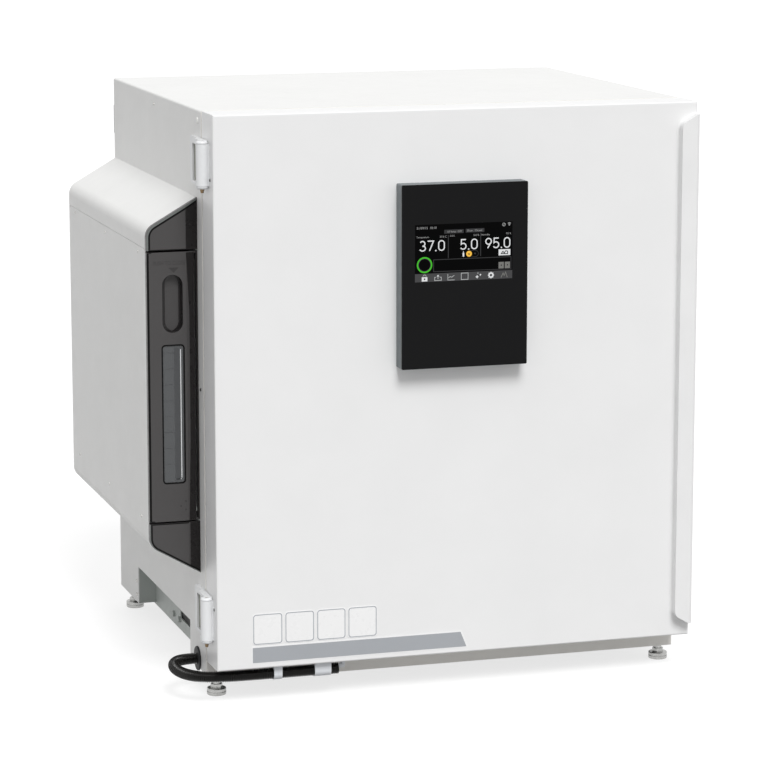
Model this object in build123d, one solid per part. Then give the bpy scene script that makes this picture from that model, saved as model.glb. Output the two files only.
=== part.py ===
from build123d import *
import math
import os

# Carbon dioxide incubator of the 230 litre class, drawn in millimetres.
# While it is drawn, X runs right from the cabinet's left side, Y runs back from the
# outer door's front face and Z runs up from the floor. The last step moves the origin
# to the middle of the footprint.

# Cabinet
cab_w = 770.0            # outer width
cab_h = 905.0            # floor to top
cab_back = 680.0         # door front to rear sheet
sheet = 1.5              # painted steel sheet
fold_r = 3.0             # folded top edges
side_bottom = 34.0       # lower edge of the side sheets above the floor
frame_bottom = 23.0      # lower edge of the front frame above the floor
frame_t = 2.0            # front frame thickness
machine_d = 40.0         # machine space between foam and rear sheet
deck_z = 97.0            # underside of the deck that carries the foam
deck_t = 2.0

# Outer door
door_t = 66.0
door_gap = 4.0           # gasket space between door and cabinet
door_bottom = 58.0
door_edge_r = 2.5
liner_t = 1.5
recess_rim = 34.0        # flat rim of the liner around its recess
recess_clear = 19.0      # from the recess floor to the inner door's frame
gasket_w = 20.0
gasket_inset = 8.0
seal_gap = 0.3           # running gap between a gasket and what it closes on

# Chamber
wall_side = 63.5         # cabinet side to chamber
wall_top = 80.0
wall_back = 45.0         # chamber to machine space
ch_floor = 125.0         # chamber floor above the ground
ch_wall = 1.2
ch_r = 20.0              # cleaning radius of the long corners
flange_w = 18.0

# Shelving
shelf_count = 4
shelf_first = 110.0      # first shelf above the chamber floor
shelf_above = 185.0      # last shelf to the chamber ceiling
shelf_side = 11.5        # shelf to the chamber's side walls
shelf_front = 24.0       # chamber mouth to shelf
shelf_back = 51.0        # shelf to the chamber's rear wall
shelf_t = 1.2
shelf_lip = 12.0         # turned-down front and rear edges
rack_leg = 22.0          # width of a shelf runner
rack_post = 14.0
rack_t = 2.0
pan_side = 23.5          # humidity pan to the chamber's side walls
pan_front = 30.0
pan_back = 93.0
pan_h = 22.0

# Air duct, fan, lamp and sensors on the chamber's rear wall
duct_w = 370.0
duct_d = 40.0
duct_bottom = 35.0       # above the chamber floor
duct_top = 12.0          # below the chamber ceiling
duct_t = 1.2
fan_x = 0.0              # from the chamber's middle
fan_drop = 80.0          # fan axis below the chamber ceiling
rotor_r = 58.0
rotor_depth = 20.0
rotor_plate = 1.5
blade_count = 14
blade_t = 1.2
blade_l = 26.0           # radial length
hub_r = 13.0
shaft_r = 4.0
shaft_fit = 0.05         # radial running clearance
motor_r = 34.0
motor_len = 30.0
motor_plate_w = 90.0     # square mounting plate
motor_plate_t = 3.0
inlet_r = 46.0
lamp_r = 7.75
lamp_len = 260.0
lamp_z = 75.0            # above the chamber floor
holder_l = 14.0          # lamp holder
holder_r = 12.0
sensor_shift = 1.75      # sensors and port, from the middle of the space beside the duct
co2_sensor_drop = 170.0
co2_sensor_r = 14.0
temp_sensor_drop = 250.0
temp_sensor_r = 3.0
port_drop = 60.0
port_r = 15.0
port_wall = 2.0

# Inner glass door
inner_lap = 15.0         # how far it laps the chamber mouth
inner_left_lap = 13.5
inner_frame_w = 24.0
inner_t = 9.0            # thickness of its frame
inner_gap = 4.0          # frame to the cabinet's front frame
glass_t = 5.0
glass_bite = 7.0         # how far the pane reaches into its frame
inner_pin_r = 2.5
inner_pin_in = 5.0       # hinge axis from the frame's left edge
inner_pin_l = 15.0
inner_ear_r = 5.0
inner_ear_t = 4.4
inner_ear_gap = 0.6
inner_gasket_w = 7.0
knob_r = 12.0
knob_in = 12.0           # its axis from the frame's right edge
knob_reach = 20.0        # latch tongue length from the knob's axis
keeper_gap = 1.5         # frame edge to keeper

# Side service housing
side_w = 80.0            # how far it stands out of the cabinet's left side
side_front = 97.0        # its front face, from the door front
side_back_in = 4.0       # its rear end, in front of the rear sheet
side_drop = 133.0        # roof line against the cabinet, below the cabinet's top
side_low = 190.0         # lower line against the cabinet
side_slope = 46.0        # rise of the roof and fall of the underside over the width
side_r = 22.0            # radius of its two outer corners
side_t = 2.0
cap_d = 10.0             # depth of the dark front mouldings
cap_t = 3.0
cap_bevel_w = 19.0       # slanted strip along their right edge
cap_bevel_d = 4.0
seam_drop = 80.0         # joint above the reservoir front, below the roof line
seam_up = 83.0           # joint below it, above the lower line
seam_gap = 3.0
panel_seam_up = 3.5      # roof and side panel meet, above the upper joint
cap_groove = (3.0, 6.5)  # groove along the reservoir front, from the cabinet's side

# Water reservoir cassette
res_clear = 1.0          # reservoir front to the cabinet's side plane
grip_w = 32.0
grip_h = 89.0
grip_drop = 80.5         # middle of the recess below the upper joint
grip_d = 13.0
window_w = 32.0
window_up = 62.0         # its lower edge above the lower joint
window_down = 64.5       # its upper edge below the recess's middle
tank_d = 290.0
tank_drop = 56.0         # tank top below the upper joint
tank_wall = 2.5
tray_t = 2.0
tray_up = 16.0           # tray above the lower joint
cap_neck_r = 16.0

# Hinges on the cabinet's left side
hinge_x = -9.6           # hinge axis, left of the cabinet side
hinge_y = 28.0
hinge_h = 72.0
hinge_in = (39.0, 40.0)  # lower hinge above the door's bottom, upper one below its top
ear_t = 4.0
ear_gap = 0.5
barrel_r = 9.2           # knuckle and ears
pin_r = 3.0
strap_in = 4.0           # strap from the front frame's rear face
strap_l = 45.0
strap_t = 5.0
strap_slot = (10.0, 31.0)    # from the strap's front end
strap_slot_z = (5.0, 61.0)   # from the strap's lower end
bar_w = 11.0             # bar from strap to ear
hinge_round = 3.6        # rounded ends of ears and barrel

# Door handle, along the door's right edge
handle_w = 30.0
handle_out = 17.0
handle_in = 23.0
handle_ends = (22.0, 19.0)   # its ends from the door's lower and upper edges
handle_chamfer = 14.0
handle_flat = 6.0        # straight ends beside the chamfers
handle_corner = 14.0
handle_t = 3.0
handle_lip = 8.0
handle_cove = 4.0        # hollow at the hood's foot
handle_rim = 0.4         # thickness where the hollow runs out on the door

# Control panel on the door
panel_w = 200.0
panel_h = 280.5
panel_shift = -1.0       # its middle from the door's middle
panel_drop = 110.5       # its top below the door's top
panel_out = 28.5
fascia_t = 2.5
panel_t = 2.5
screen_w = 155.0
screen_h = 87.0
screen_shift = -2.0      # display's middle from the panel's middle
screen_drop = 104.0      # display's middle below the panel's top
usb_y = -14.0
usb_up = 50.0            # data socket above the panel's lower edge
usb_w = 12.0
usb_h = 16.0

# Levelling feet
foot_x = 18.5            # from the cabinet's side
foot_in = (10.0, 25.0)   # from the front frame and from the rear sheet
foot_r = 15.0
foot_h = 11.0
stud_r = 6.0
boss_h = 18.0

# Side sheet cut-outs and the base behind them
cut_in = (103.0, 137.0)  # from the front frame and from the rear sheet
rail_x = 30.0
rail_t = 2.0
rail_z = 30.0
rail_slot = (125.0, 191.0)   # slot in the rail, from the cut-out's front end
rail_slot_z = (20.0, 33.0)   # above the rail's lower edge
rail_bolts = (195.0, 235.0)  # from the cut-out's front end
leg_t = 4.0

# Door lead in its corrugated conduit
conduit_r = 8.75
grommet_y = 123.0
grommet_z = 48.0
grommet_r = 19.0
grommet_neck = 1.2       # wall of its neck round the conduit
conduit_fit = 0.3
lead_y = 20.0            # run under the door
lead_z = 43.5
clamp_x = ((92.0, 105.0), (157.0, 183.0))
clamp_t = 1.0
run_end = 196.0          # end of the conduit behind the second clamp
tail_r = 3.5             # bare lead that comes out of it
tail_x = 204.0           # where it goes up into the door
tail_rise = 4.0          # its axis above the conduit's

# Rear fittings
louvre_w = 110.0
louvre_h = 7.0
louvre_pitch = 16.0
louvre_count = 6         # slots in each bank
louvre_in = 150.0        # middle of a bank from the cabinet's side
louvre_up = 80.0         # lowest slot above the deck
rear_reach = 22.0        # wall spacers behind the rear sheet
spacer_drop = (94.0, 47.0)   # below the cabinet's top
spacer_w = 40.0
inlet_in = 110.0         # from the cabinet's right side
inlet_z = 130.0
nipple_in = 210.0
nipple_drop = 175.0      # below the cabinet's top
nipple_r = 4.0
nipple_len = 14.0

# Worked out from the sizes above
cab_front = door_t + door_gap
frame_back = cab_front + frame_t
foam_back = cab_back - machine_d
ch_x0 = wall_side
ch_x1 = cab_w - wall_side
ch_mid = cab_w / 2
ch_top = cab_h - wall_top
ch_front = frame_back
ch_back = foam_back - wall_back
shelf_x = (ch_x0 + shelf_side, ch_x1 - shelf_side)
shelf_y = (ch_front + shelf_front, ch_back - shelf_back)
shelf_pitch = (ch_top - ch_floor - shelf_first - shelf_above) / (shelf_count - 1)
pan_x = (ch_x0 + pan_side, ch_x1 - pan_side)
pan_y = (ch_front + pan_front, ch_back - pan_back)
fan_at = (ch_mid + fan_x, ch_top - fan_drop)
sensor_x = (ch_x1 - ch_x0 - duct_w) / 4 + sensor_shift
duct_front = ch_back - duct_d
port_at = (ch_x0 + sensor_x, ch_top - port_drop)
inner_x = (ch_x0 - inner_left_lap, ch_x1 + inner_left_lap)
inner_y = (cab_front - inner_gap - inner_t, cab_front - inner_gap)
inner_z = (ch_floor - inner_lap, ch_top + inner_lap)
recess_y = inner_y[0] - recess_clear
inner_pin = (inner_x[0] + inner_pin_in, sum(inner_y) / 2)
shelf_zs = [ch_floor + shelf_first + shelf_pitch * i for i in range(shelf_count)]
side_back = cab_back - side_back_in
side_top = cab_h - side_drop
seam_top = side_top - seam_drop
seam_low = side_low + seam_up
panel_seam = seam_top + panel_seam_up
grip_z = seam_top - grip_drop
window_z = (seam_low + window_up, grip_z - window_down)
tray_z = seam_low + tray_up
hinge_z = (door_bottom + hinge_in[0], cab_h - hinge_in[1] - hinge_h)
strap_y = (frame_back + strap_in, frame_back + strap_in + strap_l)
handle_z = (door_bottom + handle_ends[0], cab_h - handle_ends[1])
panel_mid = cab_w / 2 + panel_shift
panel_x = (panel_mid - panel_w / 2, panel_mid + panel_w / 2)
panel_z = (cab_h - panel_drop - panel_h, cab_h - panel_drop)
screen_x = panel_mid + screen_shift
screen_z = panel_z[1] - screen_drop
usb_z = panel_z[0] + usb_up
cut_y = (frame_back + cut_in[0], cab_back - cut_in[1])
spacer_z = (cab_h - spacer_drop[0], cab_h - spacer_drop[1])
inlet_x = cab_w - inlet_in
nipple_x = cab_w - nipple_in
nipple_z = cab_h - nipple_drop
foot_front = frame_back + foot_in[0]
foot_back = cab_back - foot_in[1]
feet = {
    "front_left": (foot_x, foot_front),
    "front_right": (cab_w - foot_x, foot_front),
    "back_left": (foot_x, foot_back),
    "back_right": (cab_w - foot_x, foot_back),
}


def block(x, y, z):
    """A box over three spans."""
    spans = (x, y, z)
    centre = [(lo + hi) / 2 for lo, hi in spans]
    return Pos(*centre) * Box(*[hi - lo for lo, hi in spans])


def along_x(profile, x):
    """A profile drawn in Y and Z, extruded over a span of X."""
    plane = Plane(origin=(x[0], 0, 0), x_dir=(0, 1, 0), z_dir=(1, 0, 0))
    return extrude(plane * profile, x[1] - x[0])


def along_y(profile, y):
    """A profile drawn in X and Z, extruded over a span of Y."""
    plane = Plane(origin=(0, y[1], 0), x_dir=(1, 0, 0), z_dir=(0, -1, 0))
    return extrude(plane * profile, y[1] - y[0])


def along_z(profile, z):
    """A profile drawn in X and Y, extruded over a span of Z."""
    return extrude(Pos(0, 0, z[0]) * profile, z[1] - z[0])


def rod_x(y, z, r, x):
    return along_x(Pos(y, z) * Circle(r), x)


def rod_y(x, z, r, y):
    return along_y(Pos(x, z) * Circle(r), y)


def rod_z(x, y, r, z):
    return along_z(Pos(x, y) * Circle(r), z)


def rect(a, b):
    """A rectangle over two spans."""
    return Pos((a[0] + a[1]) / 2, (b[0] + b[1]) / 2) * Rectangle(a[1] - a[0], b[1] - b[0])


def round_rect(a, b, r):
    """A rectangle over two spans with rounded corners."""
    shape = RectangleRounded(a[1] - a[0], b[1] - b[0], r)
    return Pos((a[0] + a[1]) / 2, (b[0] + b[1]) / 2) * shape


def grow(span, by):
    return (span[0] - by, span[1] + by)


def mirror_x(shape):
    """The same shape on the cabinet's other side."""
    return mirror(shape, about=Plane(origin=(cab_w / 2, 0, 0), z_dir=(1, 0, 0)))


# Cabinet sheets

def folded_outline(z_low):
    """The cabinet's front outline with its two folded top edges."""
    outline = rect((0, cab_w), (z_low, cab_h))
    tops = outline.vertices().group_by(Axis.Y)[-1]
    return fillet(tops, fold_r)


def cabinet_wrap():
    """Both sides and the top in one folded sheet, open below, in front and behind."""
    body = along_y(folded_outline(side_bottom), (frame_back, cab_back))
    body -= block((sheet, cab_w - sheet), (frame_back, cab_back), (side_bottom, cab_h - sheet))
    body -= block((-1, cab_w + 1), cut_y, (side_bottom - 1, deck_z))
    body -= rod_x(grommet_y, grommet_z, conduit_r + grommet_neck, (-1, sheet + 1))
    service_y = side_back - 60
    for z in (side_low + 60, side_top - 60):
        body -= rod_x(service_y, z, 16, (-1, sheet + 1))
    return body


def front_frame():
    """The painted frame around the chamber mouth, down to just above the floor."""
    plate = folded_outline(frame_bottom)
    mouth = round_rect((ch_x0, ch_x1), (ch_floor, ch_top), ch_r)
    return along_y(plate - mouth, (cab_front, frame_back))


def base_leg(y):
    """A corner box between side sheet and rail, with the foot's threaded boss."""
    x = (sheet, rail_x)
    leg = block(x, y, (side_bottom, side_bottom + leg_t))
    for wall in ((y[0], y[0] + rail_t), (y[1] - rail_t, y[1])):
        leg += block(x, wall, (side_bottom, deck_z))
    return leg


def base_frame():
    """Welded base: two channel rails, cross rails, four leg boxes and the deck."""
    y = (frame_back, cab_back - sheet)
    side = block((rail_x, rail_x + rail_t), y, (rail_z, deck_z))
    side += block((rail_x, rail_x + 15), y, (rail_z, rail_z + rail_t))
    side += base_leg((y[0], cut_y[0]))
    side += base_leg((cut_y[1], y[1]))
    for foot_y in (foot_front, foot_back):
        side += rod_z(foot_x, foot_y, stud_r + 3, (side_bottom, side_bottom + leg_t + boss_h))
        side -= rod_z(foot_x, foot_y, stud_r + shaft_fit, (side_bottom - 1, deck_z))
    frame = side + mirror_x(side)
    for cross in ((y[0], y[0] + rail_t), (y[1] - rail_t, y[1])):
        frame += block((rail_x, cab_w - rail_x), cross, (rail_z, deck_z))
    frame += block((sheet, cab_w - sheet), y, (deck_z, deck_z + deck_t))
    slot_y = [cut_y[0] + along for along in rail_slot]
    slot_z = [rail_z + up for up in rail_slot_z]
    frame -= block((rail_x - 1, rail_x + rail_t + 1), slot_y, slot_z)
    for along in rail_bolts:
        frame += rod_x(cut_y[0] + along, rail_z + 17, 5, (rail_x - 4, rail_x))
    return frame


def louvres():
    """Two banks of cooling slots in the rear sheet."""
    slot = SlotOverall(louvre_w, louvre_h)
    cuts = []
    for x in (louvre_in, cab_w - louvre_in):
        for i in range(louvre_count):
            cuts.append(Pos(x, deck_z + louvre_up + louvre_pitch * i) * slot)
    return cuts


def back_panel():
    plate = rect((sheet, cab_w - sheet), (side_bottom, cab_h - sheet))
    for cut in louvres():
        plate -= cut
    plate -= Pos(*port_at) * Circle(port_r + port_wall)
    plate -= rect((inlet_x - 29, inlet_x + 29), (inlet_z - 12, inlet_z + 12))
    plate -= Pos(nipple_x, nipple_z) * Circle(nipple_r + 1)
    return along_y(plate, (cab_back - sheet, cab_back))


def rear_spacers():
    """Two channel-shaped stand-offs that keep the rear clear of a wall."""
    x = (4, 4 + spacer_w)
    y = (cab_back, cab_back + rear_reach)
    spacer = block(x, y, spacer_z)
    spacer -= block(grow(x, -2.5), (y[0] - 1, y[1] - 2.5), grow(spacer_z, 1))
    return [spacer, mirror_x(spacer)]


def chamber_outer(y):
    x = grow((ch_x0, ch_x1), ch_wall)
    z = grow((ch_floor, ch_top), ch_wall)
    return along_y(round_rect(x, z, ch_r + ch_wall), y)


def insulation():
    """Foam between chamber and cabinet, with bores for the fan shaft and the port."""
    z = (deck_z + deck_t, cab_h - sheet)
    foam = block((sheet, cab_w - sheet), (ch_front + ch_wall, foam_back), z)
    foam -= chamber_outer((ch_front, ch_back + ch_wall))
    foam -= rod_y(*fan_at, shaft_r + 4, (ch_back, foam_back + 1))
    foam -= rod_y(*port_at, port_r + port_wall, (ch_back, foam_back + 1))
    flange = round_rect(*chamber_flange(), ch_r + flange_w)
    foam -= along_y(flange, (ch_front, ch_front + ch_wall))
    return foam


def chamber_flange():
    return grow((ch_x0, ch_x1), flange_w), grow((ch_floor, ch_top), flange_w)


def chamber():
    """Seamless inner box with a flange at its mouth."""
    box = chamber_outer((ch_front, ch_back + ch_wall))
    flange = round_rect(*chamber_flange(), ch_r + flange_w)
    box += along_y(flange, (ch_front, ch_front + ch_wall))
    hollow = round_rect((ch_x0, ch_x1), (ch_floor, ch_top), ch_r)
    box -= along_y(hollow, (ch_front - 1, ch_back))
    box -= rod_y(*fan_at, shaft_r + 4, (ch_back - 1, ch_back + 2 * ch_wall))
    box -= rod_y(*port_at, port_r + port_wall, (ch_back - 1, ch_back + 2 * ch_wall))
    return box


# Chamber fittings

def shelf_rack():
    """One side's uprights and shelf runners."""
    y = grow(shelf_y, -4)
    z = (shelf_zs[0] - 60, shelf_zs[-1] + 40)
    rack = None
    for y_post in (y[0] + 30, y[1] - 30 - rack_post):
        post = block((ch_x0, ch_x0 + rack_t), (y_post, y_post + rack_post), z)
        rack = post if rack is None else rack + post
    for z_shelf in shelf_zs:
        rack += block((ch_x0, ch_x0 + rack_leg), y, (z_shelf - rack_t, z_shelf))
        rack += block((ch_x0, ch_x0 + rack_t), y, (z_shelf - shelf_lip, z_shelf))
    return rack


def shelf(z):
    """A perforated shelf with turned-down front and rear edges."""
    x, y = shelf_x, shelf_y
    plate = rect(x, y)
    slot_l = 118.0
    slot_w = 12.0
    for i in range(4):
        for j in range(9):
            at = (x[0] + (x[1] - x[0]) * (i + 0.5) / 4, y[0] + (y[1] - y[0]) * (j + 0.5) / 9)
            plate -= Pos(*at) * Rectangle(slot_l, slot_w)
    tray = along_z(plate, (z, z + shelf_t))
    for lip in ((y[0], y[0] + shelf_t), (y[1] - shelf_t, y[1])):
        tray += block(x, lip, (z - shelf_lip, z))
    return tray


def humidity_pan():
    pan = along_z(round_rect(pan_x, pan_y, 18), (ch_floor, ch_floor + pan_h))
    inside = round_rect(grow(pan_x, -shelf_t), grow(pan_y, -shelf_t), 18 - shelf_t)
    return pan - along_z(inside, (ch_floor + shelf_t, ch_floor + pan_h))


def duct_cover():
    """The air duct's removable front, open below, with a rolled inlet round the fan."""
    x = (ch_mid - duct_w / 2, ch_mid + duct_w / 2)
    z = (ch_floor + duct_bottom, ch_top - duct_top)
    cover = block(x, (duct_front, ch_back), z)
    front_edges = cover.edges().filter_by(Axis.Z).group_by(Axis.Y)[0]
    cover = fillet(front_edges, 8)
    cover -= block(grow(x, -duct_t), (duct_front + duct_t, ch_back + 1), (z[0] - 1, z[1] - duct_t))
    cover += rod_y(*fan_at, inlet_r + 6, (duct_front - 4, duct_front))
    cover -= rod_y(*fan_at, inlet_r, (duct_front - 5, duct_front + duct_t + 1))
    for i in range(3):
        z_slot = z[0] + 30 + 14 * i
        slots = Pos(ch_mid, z_slot) * SlotOverall(duct_w - 90, 6)
        cover -= along_y(slots, (duct_front - 1, duct_front + duct_t + 1))
    return cover


def rotor_span():
    y_back = ch_back - 9
    return (y_back - rotor_depth, y_back)


def fan_rotor():
    """Radial impeller: back plate, curved blades, shroud ring, hub and shaft."""
    y = rotor_span()
    x, z = fan_at
    rotor = rod_y(x, z, rotor_r, (y[1] - rotor_plate, y[1]))
    ring = Pos(x, z) * (Circle(rotor_r) - Circle(rotor_r - 14))
    rotor += along_y(ring, (y[0], y[0] + rotor_plate))
    rotor += rod_y(x, z, hub_r, (y[0] + 3, y[1]))
    rotor += rod_y(x, z, shaft_r, (y[1], foam_back + motor_len - 6))
    inner_r = rotor_r - blade_l
    middle = Vector((inner_r + rotor_r) / 2, 0).rotate(Axis.Z, 17)
    tip = Vector(rotor_r - 1, 0).rotate(Axis.Z, 24)
    blade = trace(ThreePointArc((inner_r, 0), middle, tip), blade_t)
    for i in range(blade_count):
        turned = Pos(x, z) * Rot(0, 0, 360 * i / blade_count) * blade
        rotor += along_y(turned, (y[0] + rotor_plate / 2, y[1] - rotor_plate / 2))
    return rotor


def fan_motor():
    """Motor on its mounting plate behind the foam."""
    x, z = fan_at
    half = motor_plate_w / 2
    plate = round_rect((x - half, x + half), (z - half, z + half), 8)
    y_body = foam_back + motor_plate_t
    motor = along_y(plate, (foam_back, y_body))
    body = rod_y(x, z, motor_r, (y_body, y_body + motor_len))
    rim = body.edges().filter_by(GeomType.CIRCLE).group_by(Axis.Y)[-1]
    motor += fillet(rim, 4)
    motor -= rod_y(x, z, shaft_r + shaft_fit, (foam_back - 1, foam_back + motor_len - 4))
    return motor


def lamp_axis():
    return ch_back - duct_d / 2, ch_floor + lamp_z


def uv_lamp():
    y, z = lamp_axis()
    tube = rod_x(y, z, lamp_r, (ch_mid - lamp_len / 2, ch_mid + lamp_len / 2))
    for end in (-1, 1):
        x_end = ch_mid + end * lamp_len / 2
        x_in = x_end - end * 12
        tube += rod_x(y, z, lamp_r + 0.5, (min(x_end, x_in), max(x_end, x_in)))
    return tube


def lamp_holders():
    """Sockets on the chamber's rear wall at both ends of the lamp."""
    y, z = lamp_axis()
    holders = []
    for end in (-1, 1):
        x_end = ch_mid + end * lamp_len / 2
        x = (x_end, x_end + holder_l) if end > 0 else (x_end - holder_l, x_end)
        profile = round_rect(grow((y, y), holder_r), grow((z, z), holder_r), holder_r / 2)
        profile += rect((y, ch_back), grow((z, z), holder_r))
        holders.append(along_x(profile, x))
    return holders


def co2_sensor():
    """Infrared gas sensor with a slotted head, on the rear wall beside the duct."""
    x, z = ch_x0 + sensor_x, ch_top - co2_sensor_drop
    body = along_y(round_rect((x - 22, x + 22), (z - 30, z + 30), 6), (ch_back - 6, ch_back))
    head = rod_y(x, z, co2_sensor_r, (ch_back - duct_d, ch_back - 6))
    rim = head.edges().filter_by(GeomType.CIRCLE).group_by(Axis.Y)[0]
    body += fillet(rim, 3)
    for y_slot in (ch_back - 32, ch_back - 24, ch_back - 16):
        depth = (x - co2_sensor_r - 1, x - co2_sensor_r + 3)
        body -= block(depth, (y_slot, y_slot + 4), (z - 8, z + 8))
    return body


def temperature_sensor():
    x, z = ch_x0 + sensor_x, ch_top - temp_sensor_drop
    probe = rod_y(x, z, temp_sensor_r, (ch_back - 56, ch_back - 3))
    tip = probe.edges().filter_by(GeomType.CIRCLE).group_by(Axis.Y)[0]
    probe = fillet(tip, temp_sensor_r - 0.5)
    return probe + rod_y(x, z, temp_sensor_r + 6, (ch_back - 3, ch_back))


def port_sleeve():
    """Sleeve of the access port through rear wall, foam and rear sheet."""
    x, z = port_at
    sleeve = rod_y(x, z, port_r + port_wall, (ch_back - 3, cab_back + 3))
    sleeve += rod_y(x, z, port_r + 8, (ch_back - 3, ch_back))
    sleeve += rod_y(x, z, port_r + 8, (cab_back, cab_back + 3))
    return sleeve - rod_y(x, z, port_r, (ch_back - 4, cab_back + 4))


def port_stopper():
    """Tapered stopper with a head to pull it by."""
    x, z = port_at
    y_seat = cab_back + 3 + seal_gap
    plane = Plane(origin=(x, y_seat, z), x_dir=(1, 0, 0), z_dir=(0, -1, 0))
    plug = extrude(plane * Circle(port_r - seal_gap), 30, taper=3)
    head = rod_y(x, z, port_r + 5, (y_seat, y_seat + 11))
    rim = head.edges().filter_by(GeomType.CIRCLE).group_by(Axis.Y)[-1]
    return plug + fillet(rim, 3)


def power_inlet():
    """Appliance inlet with three contacts, and the well of the mains switch."""
    x, z = inlet_x, inlet_z
    body = along_y(round_rect((x - 34, x + 34), (z - 16, z + 16), 4), (cab_back, cab_back + 2.5))
    body += block((x - 29, x + 29), (cab_back - 25, cab_back), (z - 12, z + 12))
    body -= block((x - 26, x + 2), (cab_back - 14, cab_back + 3), (z - 9, z + 9))
    for dx, dz in ((-20, -3), (-12, 3), (-4, -3)):
        contact = grow((x + dx, x + dx), 1), grow((z + dz, z + dz), 2)
        body += block(contact[0], (cab_back - 14, cab_back - 2), contact[1])
    body -= block(switch_well()[0], (cab_back - 9, cab_back + 3), switch_well()[1])
    return body


def switch_well():
    return (inlet_x + 8, inlet_x + 24), (inlet_z - 7.8, inlet_z + 7.8)


def power_switch():
    """Rocker that lies at its ON side."""
    x = grow(switch_well()[0], -0.3)
    y0 = cab_back - 3
    rear = [(y0 - 4, -4.5), (y0 + 3.6, -6.2), (y0 + 1.6, 0), (y0 + 3.6, 6.2), (y0 - 4, 4.5)]
    rocker = along_x(make_face(Polyline(*rear, close=True)), x)
    rocker = rocker.rotate(Axis((0, y0, 0), (1, 0, 0)), 9)
    return Pos(0, 0, inlet_z) * rocker


def gas_nipple():
    """Barbed inlet for the gas tube, with a hexagon."""
    x, z = nipple_x, nipple_z
    body = along_y(Pos(x, z) * RegularPolygon(8, 6), (cab_back, cab_back + 6))
    body += rod_y(x, z, nipple_r + 1, (cab_back - 16, cab_back))
    body += rod_y(x, z, nipple_r, (cab_back + 6, cab_back + 6 + nipple_len))
    return body - rod_y(x, z, 2, (cab_back - 17, cab_back + 30))


# Outer door

def door_box(inset=0.0, y=None):
    y = y or (0, door_t - liner_t)
    return block((inset, cab_w - inset), y, (door_bottom + inset, cab_h - inset))


def handle_pocket(inset=0.0):
    """The part of the door that the handle's trough takes."""
    z = grow(handle_z, -handle_chamfer - inset)
    return block((cab_w - handle_w + inset, cab_w + 1), (-1, handle_in - inset), z)


def liner_tray(inset=0.0, y_back=None):
    """The dished part of the liner, as a solid."""
    x = grow((recess_rim, cab_w - recess_rim), liner_t - inset)
    z = grow((door_bottom + recess_rim, cab_h - recess_rim), liner_t - inset)
    y = (recess_y - liner_t + inset, y_back or door_t)
    return along_y(round_rect(x, z, 16 - inset), y)


def door_skin():
    """Pressed front pan of the outer door."""
    pan = door_box()
    front = pan.faces().sort_by(Axis.Y)[0]
    pan = fillet(front.edges(), door_edge_r)
    pan -= door_box(sheet, (sheet, door_t))
    pan -= handle_pocket()
    return pan


def door_foam():
    foam = door_box(sheet, (sheet, door_t - liner_t))
    foam -= liner_tray(0.0)
    foam -= handle_pocket()
    return foam


def door_liner():
    """Inner sheet of the door, dished to clear the glass door."""
    liner = door_box(0.0, (door_t - liner_t, door_t)) + liner_tray(0.0)
    return liner - liner_tray(liner_t, door_t + 1)


def door_gasket():
    x = grow((0, cab_w), -gasket_inset)
    z = grow((door_bottom, cab_h), -gasket_inset)
    ring = round_rect(x, z, 10) - round_rect(grow(x, -gasket_w), grow(z, -gasket_w), 5)
    seal = along_y(ring, (door_t, cab_front - seal_gap))
    middle = round_rect(grow(x, -8), grow(z, -8), 9) - round_rect(grow(x, -12), grow(z, -12), 7)
    return seal - along_y(middle, (cab_front - seal_gap - 2, cab_front))


def door_handle():
    """Full-height edge grip: a hood with a rolled lip over a finger trough."""
    x = (cab_w - handle_w, cab_w)
    low, high = handle_z
    c = handle_chamfer
    x_flat = x[1] - handle_flat
    outline = Polyline(
        (x[1], low), (x_flat, low), (x[0], low + c),
        (x[0], high - c), (x_flat, high), (x[1], high), close=True)
    face = make_face(outline)
    corners = face.vertices().sort_by(Axis.X)[:2]
    face = fillet(corners, handle_corner)
    hood = along_y(face, (-handle_out, 0))
    spread = offset(face, handle_cove) & rect((0, x[1]), (0, cab_h))
    hood += along_y(spread, (-handle_rim, 0))
    rim_edges = hood.edges().filter_by_position(Axis.Y, -handle_rim - 0.01, -handle_rim + 0.01)
    foot_line = []
    for e in rim_edges.filter_by_position(Axis.X, 0, x[1] - 1):
        middle = e @ 0.5
        if face.distance_to(Vertex(middle.X, middle.Z, 0)) < 0.1:
            foot_line.append(e)
    hood = fillet(foot_line, handle_cove - 0.5)
    edge = hood.edges().filter_by(Axis.Z).sort_by(lambda e: e.center().X - e.center().Y)[-1]
    hood = fillet(edge, handle_lip)
    hood += handle_pocket() & block((x[0], x[1]), (0, handle_in), handle_z)
    inside = grow(handle_z, -c - handle_t)
    cavity = block((x[0] + handle_t, x[1] - 5), (handle_t - handle_out, handle_in - handle_t), inside)
    cavity += block((x[1] - 6, x[1] + 1), (handle_lip - handle_out, handle_in - handle_t), inside)
    return hood - cavity


def hinge_barrels():
    """Door halves of the two hinges: a knuckle that turns between the cabinet's ears."""
    barrels = []
    for z_low in hinge_z:
        z = (z_low + ear_t + ear_gap, z_low + hinge_h - ear_t - ear_gap)
        barrel = rod_z(hinge_x, hinge_y, barrel_r, z)
        barrel += block((hinge_x, 0), (hinge_y - 5, hinge_y + 5), z)
        barrel -= rod_z(hinge_x, hinge_y, pin_r + shaft_fit, grow(z, 1))
        barrels.append(barrel)
    return barrels


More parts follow.
